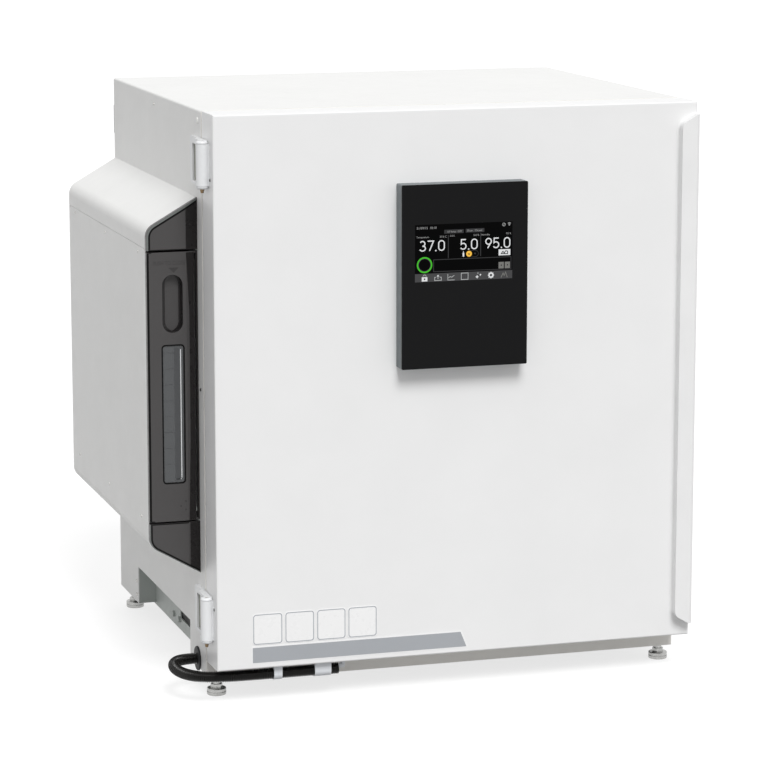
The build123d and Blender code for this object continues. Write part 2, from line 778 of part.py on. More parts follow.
def panel_housing():
    """Control panel body on the door, hollow, with the data socket in its right side."""
    y = (fascia_t - panel_out, 0)
    body = block(panel_x, y, panel_z)
    body = fillet(body.edges().filter_by(Axis.Y), 2)
    body -= block(grow(panel_x, -panel_t), (y[0] + 3, 1), grow(panel_z, -panel_t))
    socket = block((panel_x[1] - 20, panel_x[1]), grow((usb_y, usb_y), 5), grow((usb_z, usb_z), 8))
    body += socket
    body -= block((panel_x[1] - 16, panel_x[1] + 1), grow((usb_y, usb_y), 3), grow((usb_z, usb_z), 6.2))
    body += block((panel_x[1] - 16, panel_x[1] - 3), (usb_y - 1.6, usb_y + 0.4), grow((usb_z, usb_z), 5))
    opening = rect(*screen_spans(1.5))
    body -= along_y(opening, (y[0] - 1, y[0] + 4))
    return body


def screen_spans(by=0.0):
    x = grow((screen_x - screen_w / 2, screen_x + screen_w / 2), by)
    z = grow((screen_z - screen_h / 2, screen_z + screen_h / 2), by)
    return x, z


def panel_fascia():
    """Black front sheet of the panel, with the display's window."""
    face = round_rect(panel_x, panel_z, 2) - rect(*screen_spans())
    return along_y(face, (-panel_out, fascia_t - panel_out))


def panel_screen():
    """Touch display behind the window, flush with the fascia."""
    screen = along_y(rect(*screen_spans()), (-panel_out, fascia_t - panel_out))
    return screen + along_y(rect(*screen_spans(1.5)), (fascia_t - panel_out, fascia_t - panel_out + 3))


def usb_cover():
    """Flap over the data socket, on a thin hinge roll along its lower edge."""
    x0 = panel_x[1] + 0.3
    profile = round_rect((x0, x0 + 2), grow((usb_z, usb_z), usb_h / 2), 0.9)
    y = grow((usb_y, usb_y), usb_w / 2)
    flap = along_y(profile, y)
    return flap + rod_y(x0 + 1, usb_z - usb_h / 2 + 0.6, 1, y)


# Inner glass door

def inner_frame():
    """Frame that holds the pane, with its two hinge sockets and the latch bore."""
    ring = round_rect(inner_x, inner_z, 8)
    ring -= round_rect(grow(inner_x, -inner_frame_w), grow(inner_z, -inner_frame_w), 10)
    frame = along_y(ring, inner_y)
    frame -= glass_solid(0.0)
    for z in (inner_z[0] + 14, inner_z[1] - 14):
        end = inner_z[0] - 1 if z < ch_mid else inner_z[1] + 1
        span = (min(z, end), max(z, end))
        frame -= rod_z(*inner_pin, inner_pin_r + shaft_fit, span)
    frame -= rod_y(*knob_at(), 4 + shaft_fit, grow(inner_y, 1))
    return frame


def glass_solid(gap):
    bite = inner_frame_w - glass_bite + gap
    y_mid = sum(inner_y) / 2
    pane = rect(grow(inner_x, -bite), grow(inner_z, -bite))
    return along_y(pane, (y_mid - glass_t / 2, y_mid + glass_t / 2))


def knob_at():
    return inner_x[1] - knob_in, (ch_floor + ch_top) / 2


def inner_glass():
    return glass_solid(0.3)


def inner_gasket():
    x = grow(inner_x, -6)
    z = grow(inner_z, -6)
    ring = round_rect(x, z, 8) - round_rect(grow(x, -inner_gasket_w), grow(z, -inner_gasket_w), 4)
    return along_y(ring, (inner_y[1], cab_front - seal_gap))


def inner_hinges():
    """Ears on the front frame that carry the glass door's pins above and below."""
    ears = []
    x, y = inner_pin
    for low in (True, False):
        near = inner_ear_gap
        far = near + inner_ear_t
        z = (inner_z[0] - far, inner_z[0] - near) if low else (inner_z[1] + near, inner_z[1] + far)
        ear = rod_z(x, y, inner_ear_r, z) + block(grow((x, x), inner_ear_r), (y, cab_front), z)
        ear += block(grow((x, x), inner_ear_r + 4), (cab_front - 2, cab_front), z)
        z_pin = inner_z[0] - 3 if low else inner_z[1] + 3 - inner_pin_l
        pin = (z_pin, z_pin + inner_pin_l)
        ears.append(ear + rod_z(x, y, inner_pin_r, pin))
    return ears


def latch_knob():
    """Turn knob with a tongue that swings behind the keeper."""
    x, z = knob_at()
    knob = rod_y(x, z, knob_r, (inner_y[0] - 9, inner_y[0] - 0.5))
    rim = knob.edges().filter_by(GeomType.CIRCLE).group_by(Axis.Y)[0]
    knob = fillet(rim, 3)
    bar = Pos(x, z) * SlotOverall(2 * knob_r - 8, 7, rotation=90)
    knob += along_y(bar, (inner_y[0] - 14, inner_y[0] - 9))
    tongue = Pos(x, z + knob_reach / 2 - 3) * SlotOverall(knob_reach + 6, 12, rotation=90)
    knob += along_y(tongue, (inner_y[0] - 4, inner_y[0] - 0.5))
    return knob + rod_y(x, z, 4, (inner_y[0] - 1, inner_y[1] - 1))


def latch_keeper():
    """Hook on the front frame that the knob's tongue turns behind."""
    x, z = knob_at()
    wall = (x + knob_reach + 1, x + knob_reach + 4)
    y_hook = (inner_y[0] - 7, inner_y[0] - 4.5)
    keeper = block(wall, (y_hook[0], cab_front), (z - 12, z + 12))
    keeper += block((inner_x[1] + keeper_gap, wall[1]), y_hook, (z - 12, z + 12))
    return keeper + block((wall[0] - 2, wall[1] + 3), (cab_front - 2, cab_front), (z - 16, z + 16))


# Side service housing

def side_outline(inset=0.0):
    """Cross-section of the housing against the cabinet's side, X and Z."""
    lift = inset / math.cos(math.atan2(side_slope, side_w))
    x_out = -side_w + inset
    drop = side_slope * (side_w - inset) / side_w
    points = [
        (0, side_top - lift),
        (x_out, side_top - lift - drop),
        (x_out, side_low + lift + drop),
        (0, side_low + lift),
    ]
    face = make_face(Polyline(*points, close=True))
    outer = face.vertices().sort_by(Axis.X)[:2]
    return fillet(outer, side_r - inset)


def side_shell(z):
    """The part of the housing's folded skin that lies in a span of Z."""
    skin = side_outline() - side_outline(side_t)
    body = along_y(skin, (side_front + cap_d, side_back))
    return body & block((-side_w - 1, 1), (0, side_back + 1), z)


def side_roof():
    return side_shell((panel_seam, side_top + 1))


def side_panel():
    return side_shell((side_low - 1, panel_seam - 0.5))


def reservoir_floor():
    return tray_z - 1.0


def side_chassis():
    """Back wall, cabinet-side plate and the shelf that the reservoir runs on."""
    y = (side_front + cap_d, side_back - 2)
    body = along_y(side_outline(side_t), (y[1] - side_t, y[1]))
    body += block((-side_t, 0), y, (side_low + 2 * side_t, side_top - 2 * side_t))
    z_floor = reservoir_floor()
    shelf_y = (y[0] + 6, y[0] + 6 + tank_d + 20)
    body += block((side_t - side_w, -side_t), shelf_y, (z_floor - 3, z_floor))
    body += block((side_t - side_w, -side_t), (shelf_y[1], shelf_y[1] + 3), (z_floor - 3, z_floor + 60))
    for x in (-side_w + side_t, -side_t - 4):
        body += block((x, x + 4), shelf_y, (z_floor, z_floor + 3))
    return body


def cap_body(z):
    """A dark front moulding over a span of Z, hollow behind, bevelled on the right."""
    front = along_y(side_outline(), (side_front, side_front + cap_d))
    rim = front.faces().sort_by(Axis.Y)[0].edges().filter_by(lambda e: e.center().X < -1)
    front = fillet(rim, 1.5)
    y_bevel = side_front + cap_bevel_d
    bevel = Polyline((-cap_bevel_w, side_front), (1, side_front - 1), (1, y_bevel), close=True)
    front -= along_z(make_face(bevel), (0, cab_h))
    piece = front & block((-side_w, 0), (side_front, side_front + cap_d), z)
    inner = side_outline(cap_t) & rect((-side_w, -cap_t), grow(z, -cap_t))
    return piece - along_y(inner, (side_front + cap_t + cap_bevel_d / 2, side_front + cap_d))


def front_cover_top():
    return cap_body((seam_top + seam_gap / 2, side_top))


def front_cover_bottom():
    return cap_body((side_low, seam_low - seam_gap / 2))


def window_spans(by=0.0):
    x_mid = -side_w / 2 - 0.5
    x = grow((x_mid - window_w / 2, x_mid + window_w / 2), by)
    return x, grow(window_z, by)


def reservoir_front():
    """Pull-out front of the water reservoir, with finger recess, window and tray."""
    x = (-side_w, -res_clear)
    z = (seam_low + seam_gap / 2, seam_top - seam_gap / 2)
    front = cap_body(z) & block(x, (side_front, side_front + cap_d), z)
    x_mid = sum(window_spans()[0]) / 2
    deep = side_front + grip_d
    grip = Pos(x_mid, grip_z) * SlotOverall(grip_h + 5, grip_w + 5, rotation=90)
    front += along_y(grip, (side_front + cap_t, deep + 2.5))
    rim = round_rect(*window_spans(2.5), 5)
    front += along_y(rim, (side_front + cap_t, side_front + cap_d))
    recess = Pos(x_mid, grip_z) * SlotOverall(grip_h, grip_w, rotation=90)
    front -= along_y(recess, (side_front - 1, deep))
    front -= along_y(round_rect(*window_spans(), 4), (side_front - 1, side_front + 3))
    front -= along_y(round_rect(*window_spans(-2.5), 2), (side_front, side_front + cap_d + 1))
    groove = block((-cap_groove[1], -cap_groove[0]), (side_front - 1, side_front + cap_bevel_d + 1.5), z)
    front -= groove
    y_tray = (side_front + cap_d, side_front + cap_d + tank_d + 12)
    tray = block((-side_w + 8, -8), (y_tray[0] - cap_d + cap_t, y_tray[1]), (tray_z, tray_z + tray_t))
    for x_lip in (-side_w + 8, -10):
        tray += block((x_lip, x_lip + 2), (y_tray[0], y_tray[1]), (tray_z, tray_z + 14))
    return front + tray


def reservoir_window():
    return along_y(round_rect(*window_spans(-0.2), 3.8), (side_front + 1.2, side_front + 3))


def tank_spans():
    y0 = side_front + grip_d + 4
    z0 = tray_z + tray_t
    return (-side_w + 10.5, -10.5), (y0, y0 + tank_d), (z0, seam_top - tank_drop)


def reservoir_tank():
    """Blow-moulded water tank with a neck for its screw cap."""
    x, y, z = tank_spans()
    tank = block(x, y, z)
    tank = fillet(tank.edges().filter_by(Axis.Z), 10)
    tank = fillet(tank.faces().sort_by(Axis.Z)[-1].edges(), 5)
    mouth = (sum(x) / 2, y[0] + 60)
    tank += rod_z(*mouth, cap_neck_r, (z[1] - 1, z[1] + 16))
    inside = along_z(round_rect(grow(x, -tank_wall), grow(y, -tank_wall), 7.5), grow(z, -tank_wall))
    tank -= inside
    return tank - rod_z(*mouth, cap_neck_r - tank_wall, (z[1] - 5, z[1] + 17))


def tank_cap():
    x, y, z = tank_spans()
    mouth = (sum(x) / 2, y[0] + 60)
    cap = rod_z(*mouth, cap_neck_r + 3.5, (z[1] + 2, z[1] + 18.5))
    top = cap.edges().filter_by(GeomType.CIRCLE).group_by(Axis.Z)[-1]
    cap = fillet(top, 2)
    for i in range(16):
        at = Vector(cap_neck_r + 3.8, 0).rotate(Axis.Z, 22.5 * i)
        cap -= rod_z(mouth[0] + at.X, mouth[1] + at.Y, 1.0, (z[1], z[1] + 14))
    return cap - rod_z(*mouth, cap_neck_r, (z[1] + 1, z[1] + 16))


# Hinges on the cabinet

def hinge_straps():
    """Cabinet halves: a slotted strap on the side sheet and two ears round the pin."""
    straps = []
    for z_low in hinge_z:
        z = (z_low, z_low + hinge_h)
        plate = rect(strap_y, z)
        rear = plate.vertices().sort_by(Axis.X)[-2:]
        plate = fillet(rear, 7)
        strap = along_x(plate, (-strap_t, 0))
        slot_y = [strap_y[0] + along for along in strap_slot]
        slot_z = [z_low + up for up in strap_slot_z]
        strap -= block((-strap_t - 1, -1.5), slot_y, slot_z)
        for top in (False, True):
            z_ear = (z[1] - ear_t, z[1]) if top else (z[0], z[0] + ear_t)
            ear = rod_z(hinge_x, hinge_y, barrel_r, z_ear)
            rims = ear.edges().filter_by(GeomType.CIRCLE).group_by(Axis.Z)
            strap += fillet(rims[-1 if top else 0], hinge_round)
            bar = Polyline(
                (-0.8, hinge_y), (-0.8, strap_y[0] + 4), (-strap_t, strap_y[0] + 4),
                (-bar_w, strap_y[0] - 12), (-bar_w, hinge_y), close=True)
            strap += along_z(make_face(bar), z_ear)
        strap -= rod_z(hinge_x, hinge_y, pin_r, grow(z, 1))
        straps.append(strap)
    return straps


def hinge_pins():
    """Pins with a tapered head below each hinge."""
    pins = []
    for z_low in hinge_z:
        pin = rod_z(hinge_x, hinge_y, pin_r, (z_low, z_low + hinge_h - 1))
        taper = Plane(origin=(hinge_x, hinge_y, z_low), z_dir=(0, 0, -1))
        pin += extrude(taper * Circle(3.6), 6, taper=14)
        pins.append(pin)
    return pins


# Feet

def foot(x, y):
    """Levelling foot: grooved pad, hexagon and threaded stud."""
    pad = rod_z(x, y, foot_r, (0, foot_h))
    pad = fillet(pad.edges().filter_by(GeomType.CIRCLE), 1.5)
    groove = Pos(x, y) * (Circle(foot_r + 1) - Circle(foot_r - 1))
    pad -= along_z(groove, (foot_h / 2 - 0.6, foot_h / 2 + 0.6))
    pad += along_z(Pos(x, y) * RegularPolygon(9.5, 6), (foot_h, foot_h + 6))
    return pad + rod_z(x, y, stud_r, (foot_h + 6, side_bottom + leg_t + boss_h - 2))


# Door lead

def conduit_grommet():
    """Flanged grommet where the conduit leaves the cabinet's side."""
    body = rod_x(grommet_y, grommet_z, grommet_r, (-3, 0))
    rim = body.edges().filter_by(GeomType.CIRCLE).group_by(Axis.X)[0]
    body = fillet(rim, 1.5)
    body += rod_x(grommet_y, grommet_z, conduit_r + grommet_neck, (0, sheet + 4))
    return body - rod_x(grommet_y, grommet_z, conduit_r + conduit_fit, (-4, sheet + 5))


loop_points = [
    (2.0, grommet_y, grommet_z),
    (-25.0, grommet_y, grommet_z + 0.4),
    (-44.0, 105.0, 49.0),
    (-50.0, 76.0, 48.0),
    (-42.0, 47.0, 46.0),
    (-20.0, 27.0, 44.5),
    (14.0, 20.6, 43.9),
    (50.0, lead_y, lead_z),
    (clamp_x[0][0] - 2, lead_y, lead_z),
]


def tube_path(points):
    """Straight runs joined by arcs as large as their runs allow."""
    radii = []
    for a, b, c in zip(points, points[1:], points[2:]):
        first, second = Vector(b) - Vector(a), Vector(c) - Vector(b)
        half = math.radians(first.get_angle(second)) / 2
        radii.append(0.45 * min(first.length, second.length) / math.tan(half))
    print("conduit arc radii, mm:", [round(r, 1) for r in radii])
    return FilletPolyline(*points, radius=radii)


def conduit_loop():
    """Free loop of the conduit across the hinge, from grommet to first clamp."""
    path = tube_path(loop_points)
    tube = sweep(Plane(origin=path @ 0, z_dir=path % 0) * Circle(conduit_r), path=path)
    expected = math.pi * conduit_r ** 2 * path.length
    print("conduit loop length", round(path.length, 1), "volume ratio", round(tube.volume / expected, 5))
    return tube


def conduit_run():
    """The stretch that the clamps hold under the door."""
    return rod_x(lead_y, lead_z, conduit_r, (clamp_x[0][0] - 2, run_end))


def conduit_clamps():
    """Two saddles under the door, and the bare lead that goes up into it by a gland."""
    pieces = []
    out = conduit_r + clamp_t
    for x in clamp_x:
        saddle = Pos(lead_y, lead_z) * Circle(out)
        saddle += rect((lead_y - out, lead_y + out), (lead_z, door_bottom))
        saddle -= Pos(lead_y, lead_z) * Circle(conduit_r)
        pieces.append(along_x(saddle, x))
    z = lead_z + tail_rise
    tail = rod_x(lead_y, z, tail_r, (run_end, tail_x))
    tail += Pos(tail_x, lead_y, z) * Sphere(tail_r)
    tail += rod_z(tail_x, lead_y, tail_r, (z, door_bottom))
    tail += along_z(Pos(tail_x, lead_y) * RegularPolygon(7, 6), (door_bottom - 3, door_bottom))
    pieces.append(tail)
    return pieces


# Hand-over

nodes = {
    "cabinet_wrap": cabinet_wrap(),
    "front_frame": front_frame(),
    "base_frame": base_frame(),
    "back_panel": back_panel(),
    "rear_spacers": rear_spacers(),
    "insulation": insulation(),
    "chamber": chamber(),
    "shelf_racks": [shelf_rack(), mirror_x(shelf_rack())],
    "humidity_pan": humidity_pan(),
    "duct_cover": duct_cover(),
    "fan_motor": fan_motor(),
    "fan_rotor": fan_rotor(),
    "uv_lamp": uv_lamp(),
    "lamp_holders": lamp_holders(),
    "co2_sensor": co2_sensor(),
    "temperature_sensor": temperature_sensor(),
    "port_sleeve": port_sleeve(),
    "port_stopper": port_stopper(),
    "power_inlet": power_inlet(),
    "power_switch": power_switch(),
    "gas_nipple": gas_nipple(),
    "door_skin": door_skin(),
    "door_foam": door_foam(),
    "door_liner": door_liner(),
    "door_gasket": door_gasket(),
    "door_handle": door_handle(),
    "hinge_barrels": hinge_barrels(),
    "hinge_straps": hinge_straps(),
    "hinge_pins": hinge_pins(),
    "panel_housing": panel_housing(),
    "panel_fascia": panel_fascia(),
    "panel_screen": panel_screen(),
    "usb_cover": usb_cover(),
    "inner_frame": inner_frame(),
    "inner_glass": inner_glass(),
    "inner_gasket": inner_gasket(),
    "inner_hinges": inner_hinges(),
    "latch_knob": latch_knob(),
    "latch_keeper": latch_keeper(),
    "side_roof": side_roof(),
    "side_panel": side_panel(),
    "side_chassis": side_chassis(),
    "front_cover_top": front_cover_top(),
    "front_cover_bottom": front_cover_bottom(),
    "reservoir_front": reservoir_front(),
    "reservoir_window": reservoir_window(),
    "reservoir_tank": reservoir_tank(),
    "tank_cap": tank_cap(),
    "conduit_grommet": conduit_grommet(),
    "conduit_loop": conduit_loop(),
    "conduit_run": conduit_run(),
    "conduit_clamps": conduit_clamps(),
}
for i, z in enumerate(shelf_zs):
    nodes[f"shelf_{i + 1}"] = shelf(z)
for name, at in feet.items():
    nodes[f"foot_{name}"] = foot(*at)

# Footprint centre: the housing's outer face to the cabinet's right side, and the
# control panel's front to the wall spacers' rear
to_origin = Pos((side_w - cab_w) / 2, (panel_out - cab_back - rear_reach) / 2, 0)
os.makedirs("parts", exist_ok=True)
for name, made in nodes.items():
    solids = made if isinstance(made, list) else [made]
    placed = [to_origin * s for s in solids]
    shape = placed[0] if len(placed) == 1 else Compound(placed)
    export_step(shape, f"parts/{name}.step")
print(len(nodes), "nodes written")
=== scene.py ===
# %% [markdown]
# # Dressing a carbon dioxide incubator
#
# The cabinet, its doors, the side housing and every moving piece come from the packed
# model as a fixed frame. This notebook gives them their finishes, and adds what is too
# fine for the solids: the corrugated door lead, the display's picture, the bare badge
# tiles, screws, lock nuts and the level window's scale.
#
# We work in metres, but the maker's drawing is in millimetres from three plain edges:
# the cabinet's left side, the door's front face and the floor. A small helper turns
# one into the other, so each number below can be read off with a ruler.

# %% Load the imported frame
import math

import bmesh
import bpy
from mathutils import Matrix, Vector


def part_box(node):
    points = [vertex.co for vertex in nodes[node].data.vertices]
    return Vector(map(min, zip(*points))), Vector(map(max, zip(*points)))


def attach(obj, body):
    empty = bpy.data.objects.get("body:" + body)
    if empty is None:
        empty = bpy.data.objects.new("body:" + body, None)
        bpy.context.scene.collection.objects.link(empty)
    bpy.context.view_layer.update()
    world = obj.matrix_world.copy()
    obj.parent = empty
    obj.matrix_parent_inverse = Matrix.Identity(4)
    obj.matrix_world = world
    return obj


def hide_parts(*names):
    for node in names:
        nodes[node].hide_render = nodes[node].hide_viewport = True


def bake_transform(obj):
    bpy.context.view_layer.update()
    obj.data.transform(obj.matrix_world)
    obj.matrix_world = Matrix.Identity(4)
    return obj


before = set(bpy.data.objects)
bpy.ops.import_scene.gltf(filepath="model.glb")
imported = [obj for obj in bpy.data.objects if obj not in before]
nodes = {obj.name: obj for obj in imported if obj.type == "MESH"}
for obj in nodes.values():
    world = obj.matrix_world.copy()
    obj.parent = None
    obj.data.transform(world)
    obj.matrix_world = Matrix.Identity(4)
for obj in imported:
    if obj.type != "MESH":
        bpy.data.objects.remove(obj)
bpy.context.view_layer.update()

CORNER = Vector((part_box("cabinet_wrap")[0].x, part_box("door_skin")[0].y, 0.0))


def spot(x, y, z):
    """Millimetres from the cabinet's left side, the door front and the floor."""
    return CORNER + Vector((x, y, z)) / 1000


# %% [markdown]
# ## Camera
#
# The photograph was taken from in front and to the left, a little above the cabinet's
# top, with a long lens from nearly five metres. A camera object needs a place, a
# direction and a focal length. The direction is a pan to the right and a tilt down, so
# plain Euler angles are the clearest way to write it.

# %% Camera at the photograph's viewing angle
camera = bpy.data.objects.new("camera", bpy.data.cameras.new("camera"))
bpy.context.scene.collection.objects.link(camera)
camera.location = spot(-1136.5, -4571.6, 1358.3)
camera.rotation_euler = (math.radians(90 - 10.306), 0.0, math.radians(-17.038))
camera.data.sensor_width = 36.0
camera.data.lens = 149.92
camera.data.clip_end = 100.0
bpy.context.scene.camera = camera
print("camera at", [round(v, 3) for v in camera.location])

# %% [markdown]
# ## Studio
#
# A catalogue picture has a white surround and soft light. The floor is a pale plane
# that adds a little light of its own where the camera or a reflection looks at it, so
# it reads as white and still keeps the shadow. The world does the same for the
# backdrop, and lights the object at a plain level. One wide sun, high up in front, makes
# the top and the front brighter than the left side, as in the photograph.

# %% Floor, world and lamp


def seen_directly(tree):
    """1 for camera, mirror and see-through rays, 0 for the rays that carry light."""
    light_path = tree.nodes.new("ShaderNodeLightPath")
    total = None
    for kind in ("Is Camera Ray", "Is Glossy Ray", "Is Transmission Ray"):
        if total is None:
            total = light_path.outputs[kind]
            continue
        larger = tree.nodes.new("ShaderNodeMath")
        larger.operation = "MAXIMUM"
        tree.links.new(total, larger.inputs[0])
        tree.links.new(light_path.outputs[kind], larger.inputs[1])
        total = larger.outputs[0]
    return total


FLOOR_GLOW = 0.75
SKY_LIGHT = 0.62

floor_paint = bpy.data.materials.new("studio_floor")
floor_paint.use_nodes = True
floor_tree = floor_paint.node_tree
floor_shader = floor_tree.nodes["Principled BSDF"]
floor_shader.inputs["Base Color"].default_value = (0.34, 0.34, 0.34, 1)
floor_shader.inputs["Roughness"].default_value = 0.9
floor_shader.inputs["Specular IOR Level"].default_value = 0.0
floor_shader.inputs["Emission Color"].default_value = (1, 1, 1, 1)
glow = floor_tree.nodes.new("ShaderNodeMath")
glow.operation = "MULTIPLY"
glow.inputs[1].default_value = FLOOR_GLOW
floor_tree.links.new(seen_directly(floor_tree), glow.inputs[0])
floor_tree.links.new(glow.outputs[0], floor_shader.inputs["Emission Strength"])

bpy.ops.mesh.primitive_plane_add(size=60, location=(0, 0, 0))
floor = bpy.context.object
floor.name = "studio_floor"
floor.data.materials.append(floor_paint)

world = bpy.data.worlds.new("studio")
bpy.context.scene.world = world
world.use_nodes = True
sky_tree = world.node_tree
sky_strength = sky_tree.nodes.new("ShaderNodeMapRange")
sky_strength.inputs["To Min"].default_value = SKY_LIGHT
sky_strength.inputs["To Max"].default_value = 1.0
sky_tree.links.new(seen_directly(sky_tree), sky_strength.inputs["Value"])
sky = sky_tree.nodes["Background"]
sky.inputs["Color"].default_value = (1, 1, 1, 1)
sky_tree.links.new(sky_strength.outputs[0], sky.inputs["Strength"])

sun = bpy.data.objects.new("key_lamp", bpy.data.lights.new("key_lamp", "SUN"))
bpy.context.scene.collection.objects.link(sun)
sun.data.energy = 2.17
sun.data.angle = math.radians(24)
sun.rotation_euler = Vector((-0.02, -0.674, 0.739)).to_track_quat("Z", "Y").to_euler()
bpy.context.scene.view_settings.view_transform = "Standard"
print("floor", floor.name, "and one lamp of", sun.data.energy)

# %% [markdown]
# ## Finishes
#
# Nearly everything here is one of five finishes: powder-coated sheet, moulded plastic,
# brushed stainless steel, rubber and glass. Each starts from Blender's Principled
# shader. Three small helpers then add what makes a surface look real at its own scale:
# a slight unevenness of colour, a change of gloss, and a fine relief. Texture
# coordinates are the object's own, in metres, so a scale of 700 is a grain of about a
# millimetre and a half.

# %% Helpers that build a finish


def finish(name, colour, roughness, metallic=0.0, specular=0.5):
    """A new material with its plain values set on the shader's own sockets."""
    made = bpy.data.materials.new(name)
    made.use_nodes = True
    shader = made.node_tree.nodes["Principled BSDF"]
    shader.inputs["Base Color"].default_value = (*colour, 1)
    shader.inputs["Roughness"].default_value = roughness
    shader.inputs["Metallic"].default_value = metallic
    shader.inputs["Specular IOR Level"].default_value = specular
    return made


def grain_of(made, scale, stretch=(1, 1, 1), detail=2.0):
    """Noise over the object's own coordinates. A small stretch draws it out."""
    tree = made.node_tree
    place = tree.nodes.new("ShaderNodeTexCoord")
    drawn = tree.nodes.new("ShaderNodeMapping")
    drawn.inputs["Scale"].default_value = stretch
    noise = tree.nodes.new("ShaderNodeTexNoise")
    noise.inputs["Scale"].default_value = scale
    noise.inputs["Detail"].default_value = detail
    tree.links.new(place.outputs["Object"], drawn.inputs["Vector"])
    tree.links.new(drawn.outputs["Vector"], noise.inputs["Vector"])
    return noise.outputs["Fac"]


def uneven_colour(made, grain, spread):
    """The colour drifts by a share of itself, darker and lighter."""
    tree = made.node_tree
    shader = tree.nodes["Principled BSDF"]
    base = shader.inputs["Base Color"].default_value[:3]
    ramp = tree.nodes.new("ShaderNodeValToRGB")
    for stop, at, level in zip(ramp.color_ramp.elements, (0.3, 0.7), (1 - spread, 1 + spread)):
        stop.position = at
        stop.color = (*[min(1.0, c * level) for c in base], 1)
    tree.links.new(grain, ramp.inputs["Fac"])
    tree.links.new(ramp.outputs["Color"], shader.inputs["Base Color"])
    return made


def uneven_gloss(made, grain, low, high):
    """Roughness wanders between two values."""
    tree = made.node_tree
    between = tree.nodes.new("ShaderNodeMapRange")
    between.inputs["From Min"].default_value = 0.3
    between.inputs["From Max"].default_value = 0.7
    between.inputs["To Min"].default_value = low
    between.inputs["To Max"].default_value = high
    tree.links.new(grain, between.inputs["Value"])
    tree.links.new(between.outputs[0], tree.nodes["Principled BSDF"].inputs["Roughness"])
    return made


def relief(made, grain, depth_mm, strength=1.0):
    """A bump of a real depth, which is what orange peel or brush marks have."""
    tree = made.node_tree
    bump = tree.nodes.new("ShaderNodeBump")
    bump.inputs["Distance"].default_value = depth_mm / 1000
    bump.inputs["Strength"].default_value = strength
    tree.links.new(grain, bump.inputs["Height"])
    tree.links.new(bump.outputs["Normal"], tree.nodes["Principled BSDF"].inputs["Normal"])
    return made


# %% [markdown]
# Powder coat is sprayed and baked. It never lies quite flat: under a lamp it shows
# orange peel, soft dimples a millimetre or two apart and a few hundredths deep.

# %% Powder-coated sheet


def powder_coat(name, colour, roughness=0.42, peel=0.012):
    made = finish(name, colour, roughness, specular=0.4)
    uneven_colour(made, grain_of(made, 9, detail=3), 0.012)
    uneven_gloss(made, grain_of(made, 60), roughness - 0.05, roughness + 0.05)
    return relief(made, grain_of(made, 650, detail=1), peel)


door_white = powder_coat("door_white", (0.835, 0.835, 0.835), 0.38, 0.008)
cabinet_white = powder_coat("cabinet_white", (0.80, 0.80, 0.79), 0.45, 0.014)
frame_cream = powder_coat("frame_cream", (0.92, 0.90, 0.86), 0.5)
base_grey = powder_coat("base_grey", (0.50, 0.53, 0.51), 0.5, 0.02)
rear_grey = powder_coat("rear_grey", (0.62, 0.63, 0.63), 0.5, 0.02)
liner_white = powder_coat("liner_white", (0.86, 0.86, 0.86), 0.3, 0.01)
motor_black = powder_coat("motor_black", (0.05, 0.05, 0.055), 0.5, 0.02)

# %% [markdown]
# Moulded plastic takes its skin from the tool. A spark-eroded tool leaves a fine, even
# grain, and a polished one leaves a surface that is smooth with faint waves.

# %% Moulded plastics and rubber


def moulded(name, colour, roughness, grain_mm=0.4, depth=0.01, specular=0.45, spread=0.02):
    made = finish(name, colour, roughness, specular=specular)
    uneven_colour(made, grain_of(made, 14, detail=3), spread)
    uneven_gloss(made, grain_of(made, 90), max(0.03, roughness - 0.05), roughness + 0.05)
    return relief(made, grain_of(made, 1000 / grain_mm, detail=1), depth)


handle_white = moulded("handle_white", (0.82, 0.82, 0.82), 0.34, 1.2, 0.006)
hinge_white = moulded("hinge_white", (0.78, 0.79, 0.80), 0.34, 0.8, 0.008)
# Olive of painted shade, for the floor of the hinge straps' slots.
slot_painted_shade = moulded("slot_painted_shade", (0.28, 0.285, 0.24), 0.6)
bracket_grey = moulded("bracket_grey", (0.45, 0.46, 0.47), 0.6)
panel_grey = moulded("panel_grey", (0.13, 0.15, 0.16), 0.42, 0.5, 0.01)
fascia_black = moulded("fascia_black", (0.0062, 0.0062, 0.0066), 0.34, 3.0, 0.0, 0.08)
display_glass = moulded("display_glass", (0.0008, 0.0008, 0.0009), 0.12, 6.0, 0.0, 0.03)
smoke_grey = moulded("smoke_grey", (0.058, 0.055, 0.055), 0.36, 0.5, 0.008, 0.35)
# Nearly black smoke plastic used as painted shade, on slanted strips and in the finger recess.
smoke_painted_shade = moulded("smoke_painted_shade", (0.012, 0.0105, 0.0105), 0.3, 0.5, 0.004, 0.3)
smoke_mark = moulded("smoke_mark", (0.038, 0.036, 0.036), 0.4, 0.5, 0.004, 0.3)
# Grey of painted highlight, for the mouldings' rounded edges.
rim_painted_highlight = moulded("rim_painted_highlight", (0.14, 0.15, 0.145), 0.4, 0.5, 0.004)
# Black of the level window's frame, and black of painted shade for seams, edges and slots.
black_frame_and_painted_shade = moulded("black_frame_and_painted_shade", (0.003, 0.003, 0.003), 0.5, 0.5, 0.004, 0.1)
inlet_black = moulded("inlet_black", (0.02, 0.02, 0.022), 0.5)
holder_white = moulded("holder_white", (0.82, 0.82, 0.80), 0.4)
rotor_black = moulded("rotor_black", (0.04, 0.04, 0.045), 0.45)
cap_blue = moulded("cap_blue", (0.07, 0.20, 0.42), 0.4)
clamp_white = moulded("clamp_white", (0.70, 0.72, 0.75), 0.4)
conduit_black = moulded("conduit_black", (0.003, 0.0027, 0.002), 0.24, 0.6, 0.006, 0.28)
gasket_tan = moulded("gasket_tan", (0.56, 0.50, 0.41), 0.7, 0.5, 0.02, 0.3)
silicone_white = moulded("silicone_white", (0.74, 0.74, 0.72), 0.55, 0.6, 0.01, 0.35)
